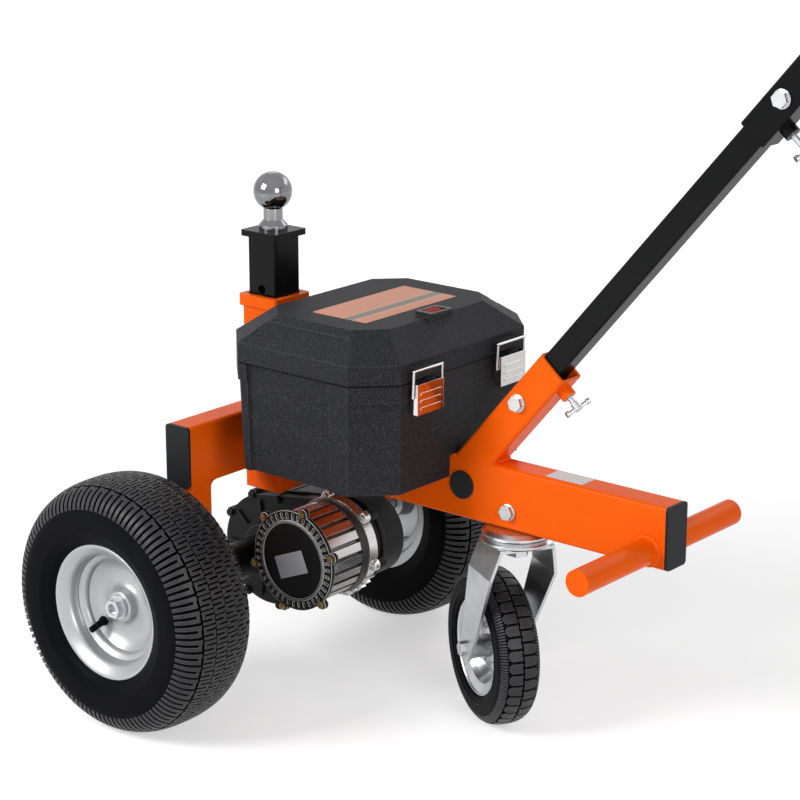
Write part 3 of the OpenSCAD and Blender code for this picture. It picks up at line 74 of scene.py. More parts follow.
class Num:
    """A socket's value in a node tree; sums and products written with it add Math nodes."""

    def __init__(self, graph, socket):
        self.graph, self.socket = graph, socket

    def out(self, name):
        return Num(self.graph, self.socket.node.outputs[name])

    def __add__(self, other):
        return self.graph.maths("ADD", self, other)

    def __sub__(self, other):
        return self.graph.maths("SUBTRACT", self, other)

    def __rsub__(self, other):
        return self.graph.maths("SUBTRACT", other, self)

    def __mul__(self, other):
        return self.graph.maths("MULTIPLY", self, other)

    def __truediv__(self, other):
        return self.graph.maths("DIVIDE", self, other)

    def __pow__(self, other):
        return self.graph.maths("POWER", self, other)

    __radd__, __rmul__ = __add__, __mul__


class Graph:
    """A node tree written as expressions: node() adds one node and gives its first output."""

    def __init__(self, tree):
        self.tree = tree
        tree.nodes.clear()

    def node(self, kind, settings=None, inputs=None):
        made = self.tree.nodes.new(kind)
        for name, value in (settings or {}).items():
            if name == "stops":
                ramp = made.color_ramp.elements
                while len(ramp) < len(value):
                    ramp.new(0.5)
                for stop, (place, grey) in zip(ramp, value):
                    stop.position, stop.color = place, (grey, grey, grey, 1)
            else:
                setattr(made, name, value)
        for name, value in (inputs or {}).items():
            socket = made.inputs[name]
            if isinstance(value, Num):
                self.tree.links.new(value.socket, socket)
            elif value is not None:
                socket.default_value = value
        return Num(self, next((o for o in made.outputs if o.enabled), None)) if made.outputs else made

    def maths(self, operation, a, b=0.0):
        return self.node("ShaderNodeMath", {"operation": operation}, {0: a, 1: b})


def mixed(graph, share, a, b):
    """Colour a where share is 0 and b where it is 1. The Mix node's colour sockets go by their numbers."""
    factor_in, a_in, b_in, colour_out = 0, 6, 7, 2
    mix = graph.tree.nodes.new("ShaderNodeMix")
    mix.data_type = "RGBA"
    for index, value in ((factor_in, share), (a_in, a), (b_in, b)):
        if isinstance(value, Num):
            graph.tree.links.new(value.socket, mix.inputs[index])
        else:
            mix.inputs[index].default_value = value if index == factor_in else (*value, 1)
    return Num(graph, mix.outputs[colour_out])


def seen_ray(graph):
    """1 for camera, mirror and glass rays, 0 for the rays that light the object."""
    path = graph.node("ShaderNodeLightPath")
    mirrored = graph.maths("MAXIMUM", path.out("Is Glossy Ray"), path.out("Is Transmission Ray"))
    return graph.maths("MAXIMUM", path.out("Is Camera Ray"), mirrored)


floor_half, paper_grey = 9, 0.8
dim_within, bright_from, dim_lift, bright_lift = 0.9, 3.5, 0.5, 0.95
floor_mesh = bpy.data.meshes.new("studio_floor")
floor_mesh.from_pydata([(x * floor_half, y * floor_half, 0) for x, y in ((-1, -1), (1, -1), (1, 1), (-1, 1))],
                       [], [(0, 1, 2, 3)])
floor = placed("studio_floor", floor_mesh)
floor_look = bpy.data.materials.new("studio_floor")
floor_look.use_nodes = True
graph = Graph(floor_look.node_tree)
paper = graph.node("ShaderNodeBsdfDiffuse", None, {"Color": (paper_grey, paper_grey, paper_grey, 1)})
ground = graph.node("ShaderNodeVectorMath", {"operation": "LENGTH"},
                    {0: graph.node("ShaderNodeTexCoord").out("Object")})
brighter = graph.node("ShaderNodeMapRange", {"interpolation_type": "SMOOTHSTEP"},
                      {"Value": ground.out("Value"), "From Min": dim_within, "From Max": bright_from,
                       "To Min": dim_lift, "To Max": bright_lift})
lift = graph.node("ShaderNodeEmission", None, {"Color": (1, 1, 1, 1), "Strength": brighter})
lifted = graph.node("ShaderNodeAddShader", None, {0: paper, 1: lift})
graph.node("ShaderNodeOutputMaterial", None,
           {"Surface": graph.node("ShaderNodeMixShader", None, {0: seen_ray(graph), 1: paper, 2: lifted})})
floor_mesh.materials.append(floor_look)

sky_light, sky_greys = 0.42, [(0.0, 0.6), (0.3, 0.62), (0.8, 0.6)]
world = bpy.data.worlds.new("studio")
scene.world = world
world.use_nodes = True
graph = Graph(world.node_tree)
height = graph.node("ShaderNodeSeparateXYZ", None,
                    {0: graph.node("ShaderNodeTexCoord").out("Generated")}).out("Z")
sky = graph.node("ShaderNodeValToRGB", {"stops": sky_greys}, {0: height})
lit = graph.node("ShaderNodeBackground", None, {"Color": sky, "Strength": sky_light})
white = graph.node("ShaderNodeBackground", None, {"Color": (1, 1, 1, 1), "Strength": 1.0})
graph.node("ShaderNodeOutputWorld", None,
           {"Surface": graph.node("ShaderNodeMixShader", None, {0: seen_ray(graph), 1: lit, 2: white})})

for name, place, aim_height, width, depth, watts in (("key_light", (-1.3, -2.5, 2.0), 0.3, 1.4, 1.4, 78),
                                                     ("fill_light", (2.7, -1.3, 1.3), 0.3, 1.2, 1.4, 36),
                                                     ("rim_light", (0.6, 2.6, 2.2), 0.4, 2.2, 1.0, 14)):
    data = bpy.data.lights.new(name, "AREA")
    data.shape, data.size, data.size_y, data.energy = "RECTANGLE", width, depth, watts
    light = placed(name, data)
    light.location = place
    light.rotation_euler = (Vector((0, 0, aim_height)) - Vector(place)).to_track_quat("-Z", "Y").to_euler()


# Painted steel frame.
# Rectangular tube cut square, welded, then powder coated bright orange: a glossy coat with a faint orange
# peel that thins over the edges.
def finish(name, build):
    """A material whose look build() writes; build gives the Principled shader's inputs."""
    look = bpy.data.materials.new(name)
    look.use_nodes = True
    graph = Graph(look.node_tree)
    values = build(graph)
    shader = graph.node("ShaderNodeBsdfPrincipled", None, values)
    graph.node("ShaderNodeOutputMaterial", None, {"Surface": shader})
    return look


def speckle(graph, scale, detail=2.0, stretch=(1, 1, 1)):
    """Noise over the piece, in cells per metre; stretch draws it out along an axis."""
    place = graph.node("ShaderNodeTexCoord").out("Object")
    place = graph.node("ShaderNodeMapping", None, {"Vector": place, "Scale": stretch})
    return graph.node("ShaderNodeTexNoise", None, {"Vector": place, "Scale": scale, "Detail": detail})


bevel_samples = 6


def worn_edge(graph, radius):
    """1 on sharp edges and 0 on open faces."""
    rounded = graph.node("ShaderNodeBevel", {"samples": bevel_samples}, {"Radius": radius})
    facing = graph.node("ShaderNodeNewGeometry").out("Normal")
    same = graph.node("ShaderNodeVectorMath", {"operation": "DOT_PRODUCT"}, {0: rounded, 1: facing})
    return graph.node("ShaderNodeMapRange", None, {
        "Value": same.out("Value"), "From Min": 1.0, "From Max": 0.9, "To Min": 0.0, "To Max": 1.0})


def relief(graph, height, depth, radius=0.8 * mm):
    """A bump of the given depth, over edges rounded by radius."""
    rounded = graph.node("ShaderNodeBevel", {"samples": bevel_samples}, {"Radius": radius})
    return graph.node("ShaderNodeBump", None,
                      {"Height": height, "Distance": depth, "Strength": 1.0, "Normal": rounded})


def orange_coat(graph):
    bright, deep, thin_edge = (0.95, 0.13, 0.004), (0.84, 0.095, 0.002), (1.0, 0.3, 0.05)
    edge_r, peel_deep = 1.2 * mm, 0.06 * mm
    colour = mixed(graph, speckle(graph, 9, 3), bright, deep)
    colour = mixed(graph, worn_edge(graph, edge_r) * 0.25, colour, thin_edge)
    return {"Base Color": colour, "Roughness": 0.14 + 0.1 * speckle(graph, 60, 3),
            "Specular IOR Level": 0.05, "Normal": relief(graph, speckle(graph, 420, 1), peel_deep, edge_r)}


orange = finish("orange_powder_coat", orange_coat)


def dress(look, *names):
    """Gives solids of the CAD model a material."""
    for name in names:
        nodes[name].data.materials.clear()
        nodes[name].data.materials.append(look)


dress(orange, "main_beam", "cross_beam_near", "cross_beam_far", "post_sleeve", "handle_receiver",
      "foot_peg_bar")


def node_group(name, taken, made, sizes):
    """A node group that makes one geometry from another, with named sizes given as (label, kind, value);
    gives its graph, its input node, and what a modifier needs: the tree and the values by identifier."""
    tree = bpy.data.node_groups.new(name, "GeometryNodeTree")
    face = tree.interface
    face.new_socket(taken, in_out="INPUT", socket_type="NodeSocketGeometry")
    values = {face.new_socket(label, in_out="INPUT", socket_type="NodeSocket" + kind).identifier: value
              for label, kind, value in sizes}
    face.new_socket(made, in_out="OUTPUT", socket_type="NodeSocketGeometry")
    graph = Graph(tree)
    return graph, graph.node("NodeGroupInput"), (tree, values)


def give(graph, name, geometry, look):
    """Ends a node group: its geometry goes out in one material."""
    dressed = graph.node("GeometryNodeSetMaterial", None, {"Geometry": geometry, "Material": look})
    graph.node("NodeGroupOutput", None, {name: dressed})


def laid_mesh(name, data, group):
    """The plain mesh that a node group makes of a curve's or mesh's data."""
    host = placed(name + "_host", data)
    laid = host.modifiers.new("laid", "NODES")
    laid.node_group, values = group
    for identifier, value in values.items():
        laid[identifier] = value
    mesh = bpy.data.meshes.new_from_object(host.evaluated_get(bpy.context.evaluated_depsgraph_get()))
    bpy.data.objects.remove(host)
    return mesh


drop_gap = 2.7


def weld(name, seams, radius):
    """Overlapping weld drops along seams, each a list of places. A seam may end where it starts."""
    curve = bpy.data.curves.new(name, "CURVE")
    curve.dimensions = "3D"
    for seam in seams:
        closed = (Vector(seam[0]) - Vector(seam[-1])).length < mm
        line = curve.splines.new("POLY")
        line.points.add(len(seam) - 1 - closed)
        line.use_cyclic_u = closed
        for point, place in zip(line.points, seam):
            point.co = (*place, 1)
    graph, given, group = node_group("weld_bead", "Seam", "Bead", (("Drop gap", "Float", drop_gap * mm),
                                                                   ("Drop radius", "Float", radius * mm)))
    along = graph.node("GeometryNodeCurveToPoints", {"mode": "LENGTH"},
                       {"Curve": given.out("Seam"), "Length": given.out("Drop gap")})
    drop = graph.node("GeometryNodeMeshUVSphere", None,
                      {"Segments": 12, "Rings": 7, "Radius": given.out("Drop radius")})
    smallest, largest, draw = 0.82, 1.08, 7
    uneven = graph.node("FunctionNodeRandomValue", {"data_type": "FLOAT"},
                        {2: smallest, 3: largest, "Seed": draw})
    laid = graph.node("GeometryNodeInstanceOnPoints", None,
                      {"Points": along, "Instance": drop, "Scale": uneven})
    solid = graph.node("GeometryNodeRealizeInstances", None, {"Geometry": laid})
    give(graph, "Bead", solid, orange)
    mesh = laid_mesh(name, curve, group)
    piece = placed(name, mesh)
    mesh.shade_smooth()
    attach(piece, "frame")


beam_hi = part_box("main_beam")[1]
bar_lo, bar_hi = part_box("foot_peg_bar")
sleeve_lo, sleeve_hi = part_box("post_sleeve")
cross_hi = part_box("cross_beam_near")[1]
peg = Vector(((bar_lo.x + bar_hi.x) / 2, 0, (bar_lo.z + bar_hi.z) / 2))
post = (sleeve_lo + sleeve_hi) / 2
peg_weld_r, peg_weld_y, peg_weld_steps, peg_drop = 17.2 * mm, beam_hi.y + 1.0 * mm, 48, 3.0
corner_x, corner_y, sleeve_weld_tall, sleeve_drop = 19.4 * mm, 30.4 * mm, 79 * mm, 2.4
for name, side in (("near", -1), ("far", 1)):
    ring = [peg + Vector((peg_weld_r * math.cos(a), side * peg_weld_y, peg_weld_r * math.sin(a)))
            for a in (2 * math.pi * i / peg_weld_steps for i in range(peg_weld_steps + 1))]
    weld("peg_weld_" + name, [ring], peg_drop)
    corners = [(post.x + dx, side * corner_y) for dx in (-corner_x, corner_x)]
    weld("sleeve_weld_" + name,
         [[(x, y, cross_hi.z - sleeve_weld_tall), (x, y, cross_hi.z)] for x, y in corners], sleeve_drop)
foot_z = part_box("handle_receiver")[0].z
foot_back, foot_front = axle.x + 321.3 * mm, axle.x + 380.6 * mm
foot_half, foot_bulge, foot_drop = 18.2 * mm, 1.5 * mm, 2.2
weld("receiver_weld", [[(foot_back, -foot_half, foot_z), (foot_front, -foot_half, foot_z),
                        (foot_front + foot_bulge, 0, foot_z), (foot_front, foot_half, foot_z),
                        (foot_back, foot_half, foot_z), (foot_back, -foot_half, foot_z)]], foot_drop)


# Plastic plugs.
# Moulded polythene plugs tapped into the open tube ends and into the holes in the beam's sides. Their edges
# are scuffed a little paler.
def plug_plastic(graph):
    black, rubbed = (0.015, 0.016, 0.018), (0.06, 0.06, 0.065)
    grain, grain_deep = speckle(graph, 1500, 2), 0.08 * mm
    return {"Base Color": mixed(graph, worn_edge(graph, 1.0 * mm) * 0.5, black, rubbed),
            "Roughness": 0.42 + 0.15 * grain, "Specular IOR Level": 0.12,
            "Normal": relief(graph, grain, grain_deep)}


dress(finish("plug_plastic", plug_plastic), "beam_end_cap", "cross_beam_plugs", "beam_hole_plugs")


# Battery box.
# Injection moulded polypropylene with a coarse pebble grain, lighter on the grain's tips and on worn edges.
# A foil panel with one printed band lies in the lid's recess, and a gloss frame clips round the main switch.
def box_plastic(graph):
    dark, paler = (0.009, 0.0095, 0.0115), (0.016, 0.0165, 0.019)
    tip, rubbed = (0.075, 0.076, 0.082), (0.10, 0.10, 0.105)
    edge_r, pebble_deep = 2.0 * mm, 0.6 * mm
    pebble = speckle(graph, 760, 2)
    tips = graph.node("ShaderNodeMapRange", None, {"Value": pebble, "From Min": 0.5, "From Max": 0.68})
    colour = mixed(graph, tips * 0.7, mixed(graph, speckle(graph, 14, 3), dark, paler), tip)
    colour = mixed(graph, worn_edge(graph, edge_r) * 0.4, colour, rubbed)
    return {"Base Color": colour, "Roughness": 0.46 + 0.14 * pebble, "Specular IOR Level": 0.1,
            "Normal": relief(graph, pebble, pebble_deep, edge_r)}


def within(graph, value, low, high):
    """1 where a value lies between two limits."""
    return graph.maths("GREATER_THAN", value, low) * graph.maths("LESS_THAN", value, high)


def spot(graph, axis):
    """Place on the piece along an axis, in metres."""
    place = graph.node("ShaderNodeTexCoord").out("Object")
    return graph.node("ShaderNodeSeparateXYZ", None, {0: place}).out(axis)


def seam_shadow_plastic(graph):
    """Box plastic with a painted shadow: a black band along the seam between box and lid."""
    values = box_plastic(graph)
    # Painted shadow: a black band along the seam, standing in for the shade in the gap between box and lid.
    seam_shadow = within(graph, spot(graph, "Z"), seam_z - shadow_below, seam_z + shadow_above)
    values["Base Color"] = mixed(graph, seam_shadow, values["Base Color"], seam_shadow_black)
    return values


seam_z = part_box("battery_box")[1].z
# Painted shadow along the seam between box and lid: how far it reaches below and above, and its black.
shadow_below, shadow_above, seam_shadow_black = 1.3 * mm, 1.1 * mm, (0.0008, 0.0008, 0.001)
dress(finish("box_plastic", seam_shadow_plastic), "battery_box", "box_lid")
dress(finish("head_plastic", box_plastic), "control_head")


def fitted(name, mesh, look, body, instead_of=(), smooth=40):
    """A finished mesh as a piece that rides on a body; edges sharper than smooth stay crisp."""
    piece = placed(name, mesh)
    mesh.materials.clear()
    mesh.materials.append(look)
    mesh.shade_smooth()
    mesh.set_sharp_from_angle(angle=math.radians(smooth))
    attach(piece, body)
    if instead_of:
        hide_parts(*instead_of)


def soft_corners(half_x, half_y, radius, steps=5):
    """A rectangle with round corners as (x, y) points."""
    points = []
    for k, (sx, sy) in enumerate(((1, 1), (-1, 1), (-1, -1), (1, -1))):
        for i in range(steps + 1):
            a = math.radians(90 * (k + i / steps))
            points.append((sx * (half_x - radius) + radius * math.cos(a),
                           sy * (half_y - radius) + radius * math.sin(a)))
    return points


def raised(shape, faces, top):
    """Extrudes flat faces up to a height in mm."""
    grown = bmesh.ops.extrude_face_region(shape, geom=faces)["geom"]
    for v in [g for g in grown if isinstance(g, bmesh.types.BMVert)]:
        v.co.z = top * mm


def flat_piece(name, outline, low, high, place, edge, hole=()):
    """A plate from low to high over an outline of (x, y) points, in mm; its upper rims are rounded."""
    shape = bmesh.new()
    outer = [shape.verts.new((x * mm, y * mm, low * mm)) for x, y in outline]
    inner = [shape.verts.new((x * mm, y * mm, low * mm)) for x, y in hole]
    if hole:
        foot = [shape.faces.new((outer[k - 1], outer[k], inner[k], inner[k - 1])) for k in range(len(hole))]
    else:
        foot = [shape.faces.new(outer)]
    raised(shape, foot, high)
    bmesh.ops.recalc_face_normals(shape, faces=shape.faces)
    sharp, steps, fullness = 1, 3, 0.6
    rims = [e for e in shape.edges if min(v.co.z for v in e.verts) > (low + high) / 2 * mm
            and e.calc_face_angle(0) > sharp]
    bmesh.ops.bevel(shape, geom=rims, offset=edge * mm, segments=steps, profile=fullness, affect="EDGES")
    mesh = bpy.data.meshes.new(name)
    shape.to_mesh(mesh)
    shape.free()
    mesh.transform(place)
    return mesh


def panel_foil(graph):
    """Orange foil with a brown band between two pale rules."""
    orange_foil, orange_fleck, pale = (0.60, 0.235, 0.145), (0.80, 0.37, 0.25), (0.60, 0.56, 0.52)
    brown, brown_fleck = (0.21, 0.165, 0.13), (0.33, 0.27, 0.22)
    band_back, band_front, rule_wide = axle.x + 203 * mm, axle.x + 218 * mm, 1.5 * mm
    fleck = speckle(graph, 900, 3)
    band = within(graph, spot(graph, "X"), band_back, band_front)
    rule = within(graph, spot(graph, "X"), band_back - rule_wide, band_front + rule_wide)
    colour = mixed(graph, rule, mixed(graph, fleck, orange_foil, orange_fleck), pale)
    return {"Base Color": mixed(graph, band, colour, mixed(graph, fleck, brown, brown_fleck)),
            "Roughness": 0.34 + 0.14 * fleck, "Specular IOR Level": 0.12,
            "Normal": relief(graph, fleck, 0.03 * mm, 0.3 * mm)}


def gloss_frame(graph):
    black, rubbed, haze = (0.006, 0.006, 0.007), (0.14, 0.14, 0.15), speckle(graph, 300, 2)
    return {"Base Color": mixed(graph, worn_edge(graph, 1.2 * mm) * 0.5, black, rubbed),
            "Roughness": 0.12 + 0.1 * haze, "Specular IOR Level": 0.15,
            "Normal": relief(graph, haze, 0.02 * mm, 0.6 * mm)}


def paper_label(graph):
    grey, white, fleck = (0.55, 0.54, 0.53), (0.72, 0.71, 0.70), speckle(graph, 1200, 3)
    return {"Base Color": mixed(graph, fleck, grey, white), "Roughness": 0.38 + 0.1 * fleck,
            "Normal": relief(graph, fleck, 0.02 * mm, 0.2 * mm)}


label_corners, label_sunk, label_proud, label_edge = soft_corners(27, 13.5, 1.5), -0.05, 0.25, 0.08
on_beam = Matrix.Translation((axle.x + 484 * mm, 1 * mm, beam_hi.z))
fitted("beam_label", flat_piece("beam_label", label_corners, label_sunk, label_proud, on_beam, label_edge),
       finish("paper_label", paper_label), "frame")
recess_deep = 4 * mm
recess_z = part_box("box_lid")[1].z - recess_deep
panel_corners, panel_sunk, panel_proud, panel_edge = soft_corners(43.6, 88.6, 3), -0.6, 0.15, 0.12
in_recess = Matrix.Translation((axle.x + 196 * mm, 0, recess_z))
fitted("lid_panel", flat_piece("lid_panel", panel_corners, panel_sunk, panel_proud, in_recess, panel_edge),
       finish("panel_foil", panel_foil), "lid")
rocker_x = (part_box("rocker_switch")[0].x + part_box("rocker_switch")[1].x) / 2
frame_foot, frame_top, frame_edge = 3.4, 5.6, 0.9
frame_outside, frame_inside = soft_corners(13.6, 20.6, 2.4), soft_corners(9.2, 14.4, 1)
fitted("switch_frame", flat_piece("switch_frame", frame_outside, frame_foot, frame_top,
                                  Matrix.Translation((rocker_x, 0, recess_z)), frame_edge, frame_inside),
       finish("gloss_frame", gloss_frame), "lid")


# Zinc plated hardware.
# Bolts, T screws, axle clamps, the height pin, and the caster's fork and split rim: turned or pressed from
# steel, then bright zinc plated, which leaves a faint cloud.
def zinc_plate(graph):
    bluish, bright = (0.46, 0.48, 0.50), (0.66, 0.67, 0.68)
    return {"Base Color": mixed(graph, speckle(graph, 70, 4), bluish, bright), "Metallic": 1.0,
            "Roughness": 0.2 + 0.2 * speckle(graph, 40, 4),
            "Normal": relief(graph, speckle(graph, 900, 2), 0.03 * mm, 0.6 * mm)}


zinc = finish("zinc_plate", zinc_plate)
dress(zinc, "axle_clamps", "caster_stem", "stem_bolt", "receiver_bolt", "sleeve_bolt", "receiver_screw",
      "sleeve_screw", "post_pin", "caster_fork", "caster_axle", "caster_rim", "axle_nut_near",
      "axle_nut_far")


# Hitch ball and latches.
# The ball is forged, turned, polished and chromed, and bolts to the post's top plate. The latch levers and
# their wire bails are chromed spring steel.
def chrome_plate(graph, dark, light):
    smear = speckle(graph, 45, 4)
    return {"Base Color": mixed(graph, smear, dark, light), "Metallic": 1.0,
            "Roughness": 0.04 + 0.08 * smear, "Normal": relief(graph, smear, 0.03 * mm, 0.5 * mm)}


# The ball's chrome is darker than the latches': its dark grey base is a painted reflection of a dark
# surround.
ball_dark_reflection, ball_dark_reflection_paler = (0.14, 0.142, 0.15), (0.28, 0.28, 0.285)
dress(finish("ball_chrome", lambda graph: chrome_plate(graph, ball_dark_reflection, ball_dark_reflection_paler)), "hitch_ball")
silvery, silvery_light = (0.46, 0.455, 0.45), (0.62, 0.61, 0.60)
dress(finish("latch_chrome", lambda graph: chrome_plate(graph, silvery, silvery_light)),
      "latch_lever_near", "latch_lever_far", "latch_bail_near", "latch_bail_far", "rear_latch_levers",
      "rear_latch_bails")


# Handle and ball post.
# Square steel tube in black gloss powder coat. The upper handle tube slides over the lower one, and the ball
# post stands in its sleeve, held by a pin.
def black_coat(graph):
    black, rubbed, edge_r = (0.004, 0.0042, 0.0048), (0.05, 0.05, 0.052), 1.0 * mm
    return {"Base Color": mixed(graph, worn_edge(graph, edge_r) * 0.4, black, rubbed),
            "Roughness": 0.18 + 0.12 * speckle(graph, 60, 3), "Specular IOR Level": 0.09,
            "Normal": relief(graph, speckle(graph, 420, 1), 0.06 * mm, edge_r)}


dress(finish("black_powder_coat", black_coat), "handle_lower", "handle_upper", "handlebar", "ball_post")


# Transaxle.
# A die-cast gear case in two halves, screwed together round their joint, with the motor on its side: a ribbed
# aluminium shell between a cast flange and an end cap in black paint.
def black_casting(graph):
    black, bare, edge_r = (0.005, 0.005, 0.0055), (0.34, 0.34, 0.34), 0.8 * mm
    sand, edge = speckle(graph, 500, 4), worn_edge(graph, edge_r)
    return {"Base Color": mixed(graph, edge * 0.7, black, bare), "Metallic": edge * 0.6,
            "Roughness": 0.34 + 0.2 * sand, "Specular IOR Level": 0.16,
            "Normal": relief(graph, sand, 0.3 * mm, edge_r)}


motor_lo, motor_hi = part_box("motor_end_cap")
motor = Vector(((motor_lo.x + motor_hi.x) / 2, motor_lo.y, (motor_lo.z + motor_hi.z) / 2))


def from_motor(graph):
    """Distance from the motor's axis."""
    across, up = spot(graph, "X") - motor.x, spot(graph, "Z") - motor.z
    return (across * across + up * up) ** 0.5


def end_cap_paint(graph):
    """Casting paint with a dull ring turned round the disc, rubbed bright on the edges of the slots."""
    ring_in, ring_out, slots_in, slots_out = 49.8 * mm, 51.2 * mm, 51.3 * mm, 80 * mm
    dull, bright = (0.5, 0.5, 0.5), (0.62, 0.62, 0.61)
    values = black_casting(graph)
    ring = within(graph, from_motor(graph), ring_in, ring_out) * 0.45
    rubbed = worn_edge(graph, 1.6 * mm) * within(graph, from_motor(graph), slots_in, slots_out)
    values["Base Color"] = mixed(graph, rubbed, mixed(graph, ring, values["Base Color"], dull), bright)
    return values


def aluminium(graph, stretch):
    grey, bright, lines = (0.58, 0.57, 0.56), (0.76, 0.75, 0.74), speckle(graph, 900, 3, stretch)
    return {"Base Color": mixed(graph, lines, grey, bright), "Metallic": 1.0,
            "Roughness": 0.18 + 0.16 * lines, "Normal": relief(graph, lines, 0.05 * mm, 0.6 * mm)}


def motor_skin(graph):
    """Drawn aluminium with painted shade, dark in its grooves and darker towards the bottom, and a black
    strap round its far end.
    """
    groove_out, strap_near, strap_far = 59.2 * mm, -39.2 * mm, -20 * mm
    # Heights between which the painted shade darkens the shell towards the bottom.
    shade_start_z, shade_full_z = motor.z + 30 * mm, motor.z - 50 * mm
    underside_shade, shaded, strap_black = (0.10, 0.098, 0.095), (0.12, 0.12, 0.12), (0.012, 0.012, 0.013)
    values = aluminium(graph, (1, 0.01, 1))
    strap = within(graph, spot(graph, "Y"), strap_near, strap_far)
    # Painted shade in the grooves between the ribs.
    groove_shade = within(graph, from_motor(graph), 0.0, groove_out)
    # Painted shade, growing darker towards the bottom of the shell.
    underside_shade_mask = graph.node("ShaderNodeMapRange", None, {
        "Value": spot(graph, "Z"), "From Min": shade_start_z, "From Max": shade_full_z, "To Min": 0.0, "To Max": 0.75})
    colour = mixed(graph, groove_shade, mixed(graph, underside_shade_mask, values["Base Color"], underside_shade), shaded)
    values["Base Color"] = mixed(graph, strap, colour, strap_black)
    values["Metallic"] = 1.0 - strap
    values["Roughness"] = values["Roughness"] + strap * 0.2
    return values


casting = finish("black_casting", black_casting)
dress(casting, "gear_housing", "gear_cover", "axle_tubes")
dress(finish("end_cap_paint", end_cap_paint), "motor_end_cap")
dress(finish("motor_skin", motor_skin), "motor_shell")
cast_aluminium = finish("cast_aluminium", lambda graph: aluminium(graph, (1, 1, 1)))
dress(cast_aluminium, "motor_flange", "controller")


def bare_plate(graph):
    grey, pale, lines = (0.36, 0.37, 0.41), (0.50, 0.51, 0.55), speckle(graph, 1400, 3, (0.05, 1, 1))
    return {"Base Color": mixed(graph, lines, grey, pale), "Metallic": 0.5, "Roughness": 0.4 + 0.12 * lines,
            "Normal": relief(graph, lines, 0.03 * mm, 0.3 * mm)}


upright = Matrix.Rotation(math.radians(90), 4, "X")
on_disc = Matrix.Translation(motor + Vector((-2.7, 1.5, -5.9)) * mm)
plate_lean = Matrix.Rotation(math.radians(22.3), 4, "Z")
plate_corners, plate_sunk, plate_proud, plate_edge = soft_corners(24.8, 15, 1.2), -0.05, 0.45, 0.15
fitted("motor_plate", flat_piece("motor_plate", plate_corners, plate_sunk, plate_proud,
                                 on_disc @ upright @ plate_lean, plate_edge),
       finish("bare_plate", bare_plate), "frame")


def yellow_plate(graph):
    brownish, yellow = (0.50, 0.33, 0.10), (0.74, 0.58, 0.26)
    return {"Base Color": mixed(graph, speckle(graph, 300, 3), brownish, yellow), "Metallic": 1.0,
            "Roughness": 0.25 + 0.2 * speckle(graph, 200, 3),
            "Normal": relief(graph, speckle(graph, 900), 0.03 * mm, 0.5 * mm)}


brass = finish("yellow_plate", yellow_plate)
dress(brass, "motor_screws")


def turned(name, outline, centre, steps, axis=(0, 1, 0)):
    """A closed outline of (distance along the axis, radius) points in mm, turned about the axis. Points at
    radius 0 meet in a pole."""
    shape, merge_within = bmesh.new(), 0.001 * mm
    across = Vector(axis).cross((0, 0, 1)).normalized()
    upright = across.cross(Vector(axis))
    rings = []
    for i in range(steps):
        a = 2 * math.pi * i / steps
        out = across * math.cos(a) + upright * math.sin(a)
        rings.append([shape.verts.new(Vector(centre) + (Vector(axis) * t + out * r) * mm)
                      for t, r in outline])
    for i in range(steps):
        here, there = rings[i], rings[(i + 1) % steps]
        for k in range(len(outline)):
            m = (k + 1) % len(outline)
            shape.faces.new((here[k], here[m], there[m], there[k]))
    bmesh.ops.remove_doubles(shape, verts=shape.verts, dist=merge_within)
    bmesh.ops.delete(shape, geom=[e for e in shape.edges if not e.link_faces], context="EDGES")
    bmesh.ops.recalc_face_normals(shape, faces=shape.faces)
    mesh = bpy.data.meshes.new(name)
    shape.to_mesh(mesh)
    shape.free()
    return mesh


def rounded_outline(points, steps=4):
    """Corners given as (along, radius, fillet) with each fillet drawn as a short arc."""
    made, almost_half = [], 0.49
    for k, (t, r, fillet) in enumerate(points):
        here = Vector((t, r))
        before = Vector(points[k - 1][:2]) - here
        after = Vector(points[(k + 1) % len(points)][:2]) - here
        if fillet == 0:
            made.append((t, r))
            continue
        reach = min(fillet, before.length * almost_half, after.length * almost_half)
        a, b = here + before.normalized() * reach, here + after.normalized() * reach
        for i in range(steps + 1):
            f = i / steps
            made.append(tuple((1 - f) ** 2 * a + 2 * f * (1 - f) * here + f * f * b))
    return made


def set_on(name, places, master, look, centre=(0, 0, 0)):
    """Copies of one small mesh set on places of the frame body, their X away from a centre."""
    single = placed(name + "_one", master)
    graph, given, group = node_group(name, "Places", "Set", (("Part", "Object", single),
                                                             ("Size", "Float", 1.0),
                                                             ("Centre", "Vector", tuple(centre))))
    one = graph.node("GeometryNodeObjectInfo", None, {"Object": given.out("Part")}).out("Geometry")
    away = graph.node("ShaderNodeVectorMath", {"operation": "SUBTRACT"},
                      {0: graph.node("GeometryNodeInputPosition"), 1: given.out("Centre")})
    turn = graph.node("FunctionNodeAlignRotationToVector", {"axis": "X", "pivot_axis": "Y"}, {"Vector": away})
    laid = graph.node("GeometryNodeInstanceOnPoints", None, {
        "Points": given.out("Places"), "Instance": one, "Scale": given.out("Size"), "Rotation": turn})
    solid = graph.node("GeometryNodeRealizeInstances", None, {"Geometry": laid})
    give(graph, "Set", solid, look)
    spots = bpy.data.meshes.new(name + "_places")
    spots.from_pydata([tuple(place) for place in places], [], [])
    mesh = laid_mesh(name, spots, group)
    bpy.data.objects.remove(single)
    fitted(name, mesh, look, "frame")


def belt(big, big_r, small, small_r, steps=48):
    """Outline of a belt round two circles, as (x, y) points."""
    apart = Vector(small) - Vector(big)
    lean, open_half = math.atan2(apart.y, apart.x), math.acos((big_r - small_r) / apart.length)
    points = []
    for centre, r, start, end in ((big, big_r, lean + open_half, lean + 2 * math.pi - open_half),
                                  (small, small_r, lean - open_half, lean + open_half)):
        for i in range(steps + 1):
            a = start + (end - start) * i / steps
            points.append((centre[0] + r * math.cos(a), centre[1] + r * math.sin(a)))
    return points


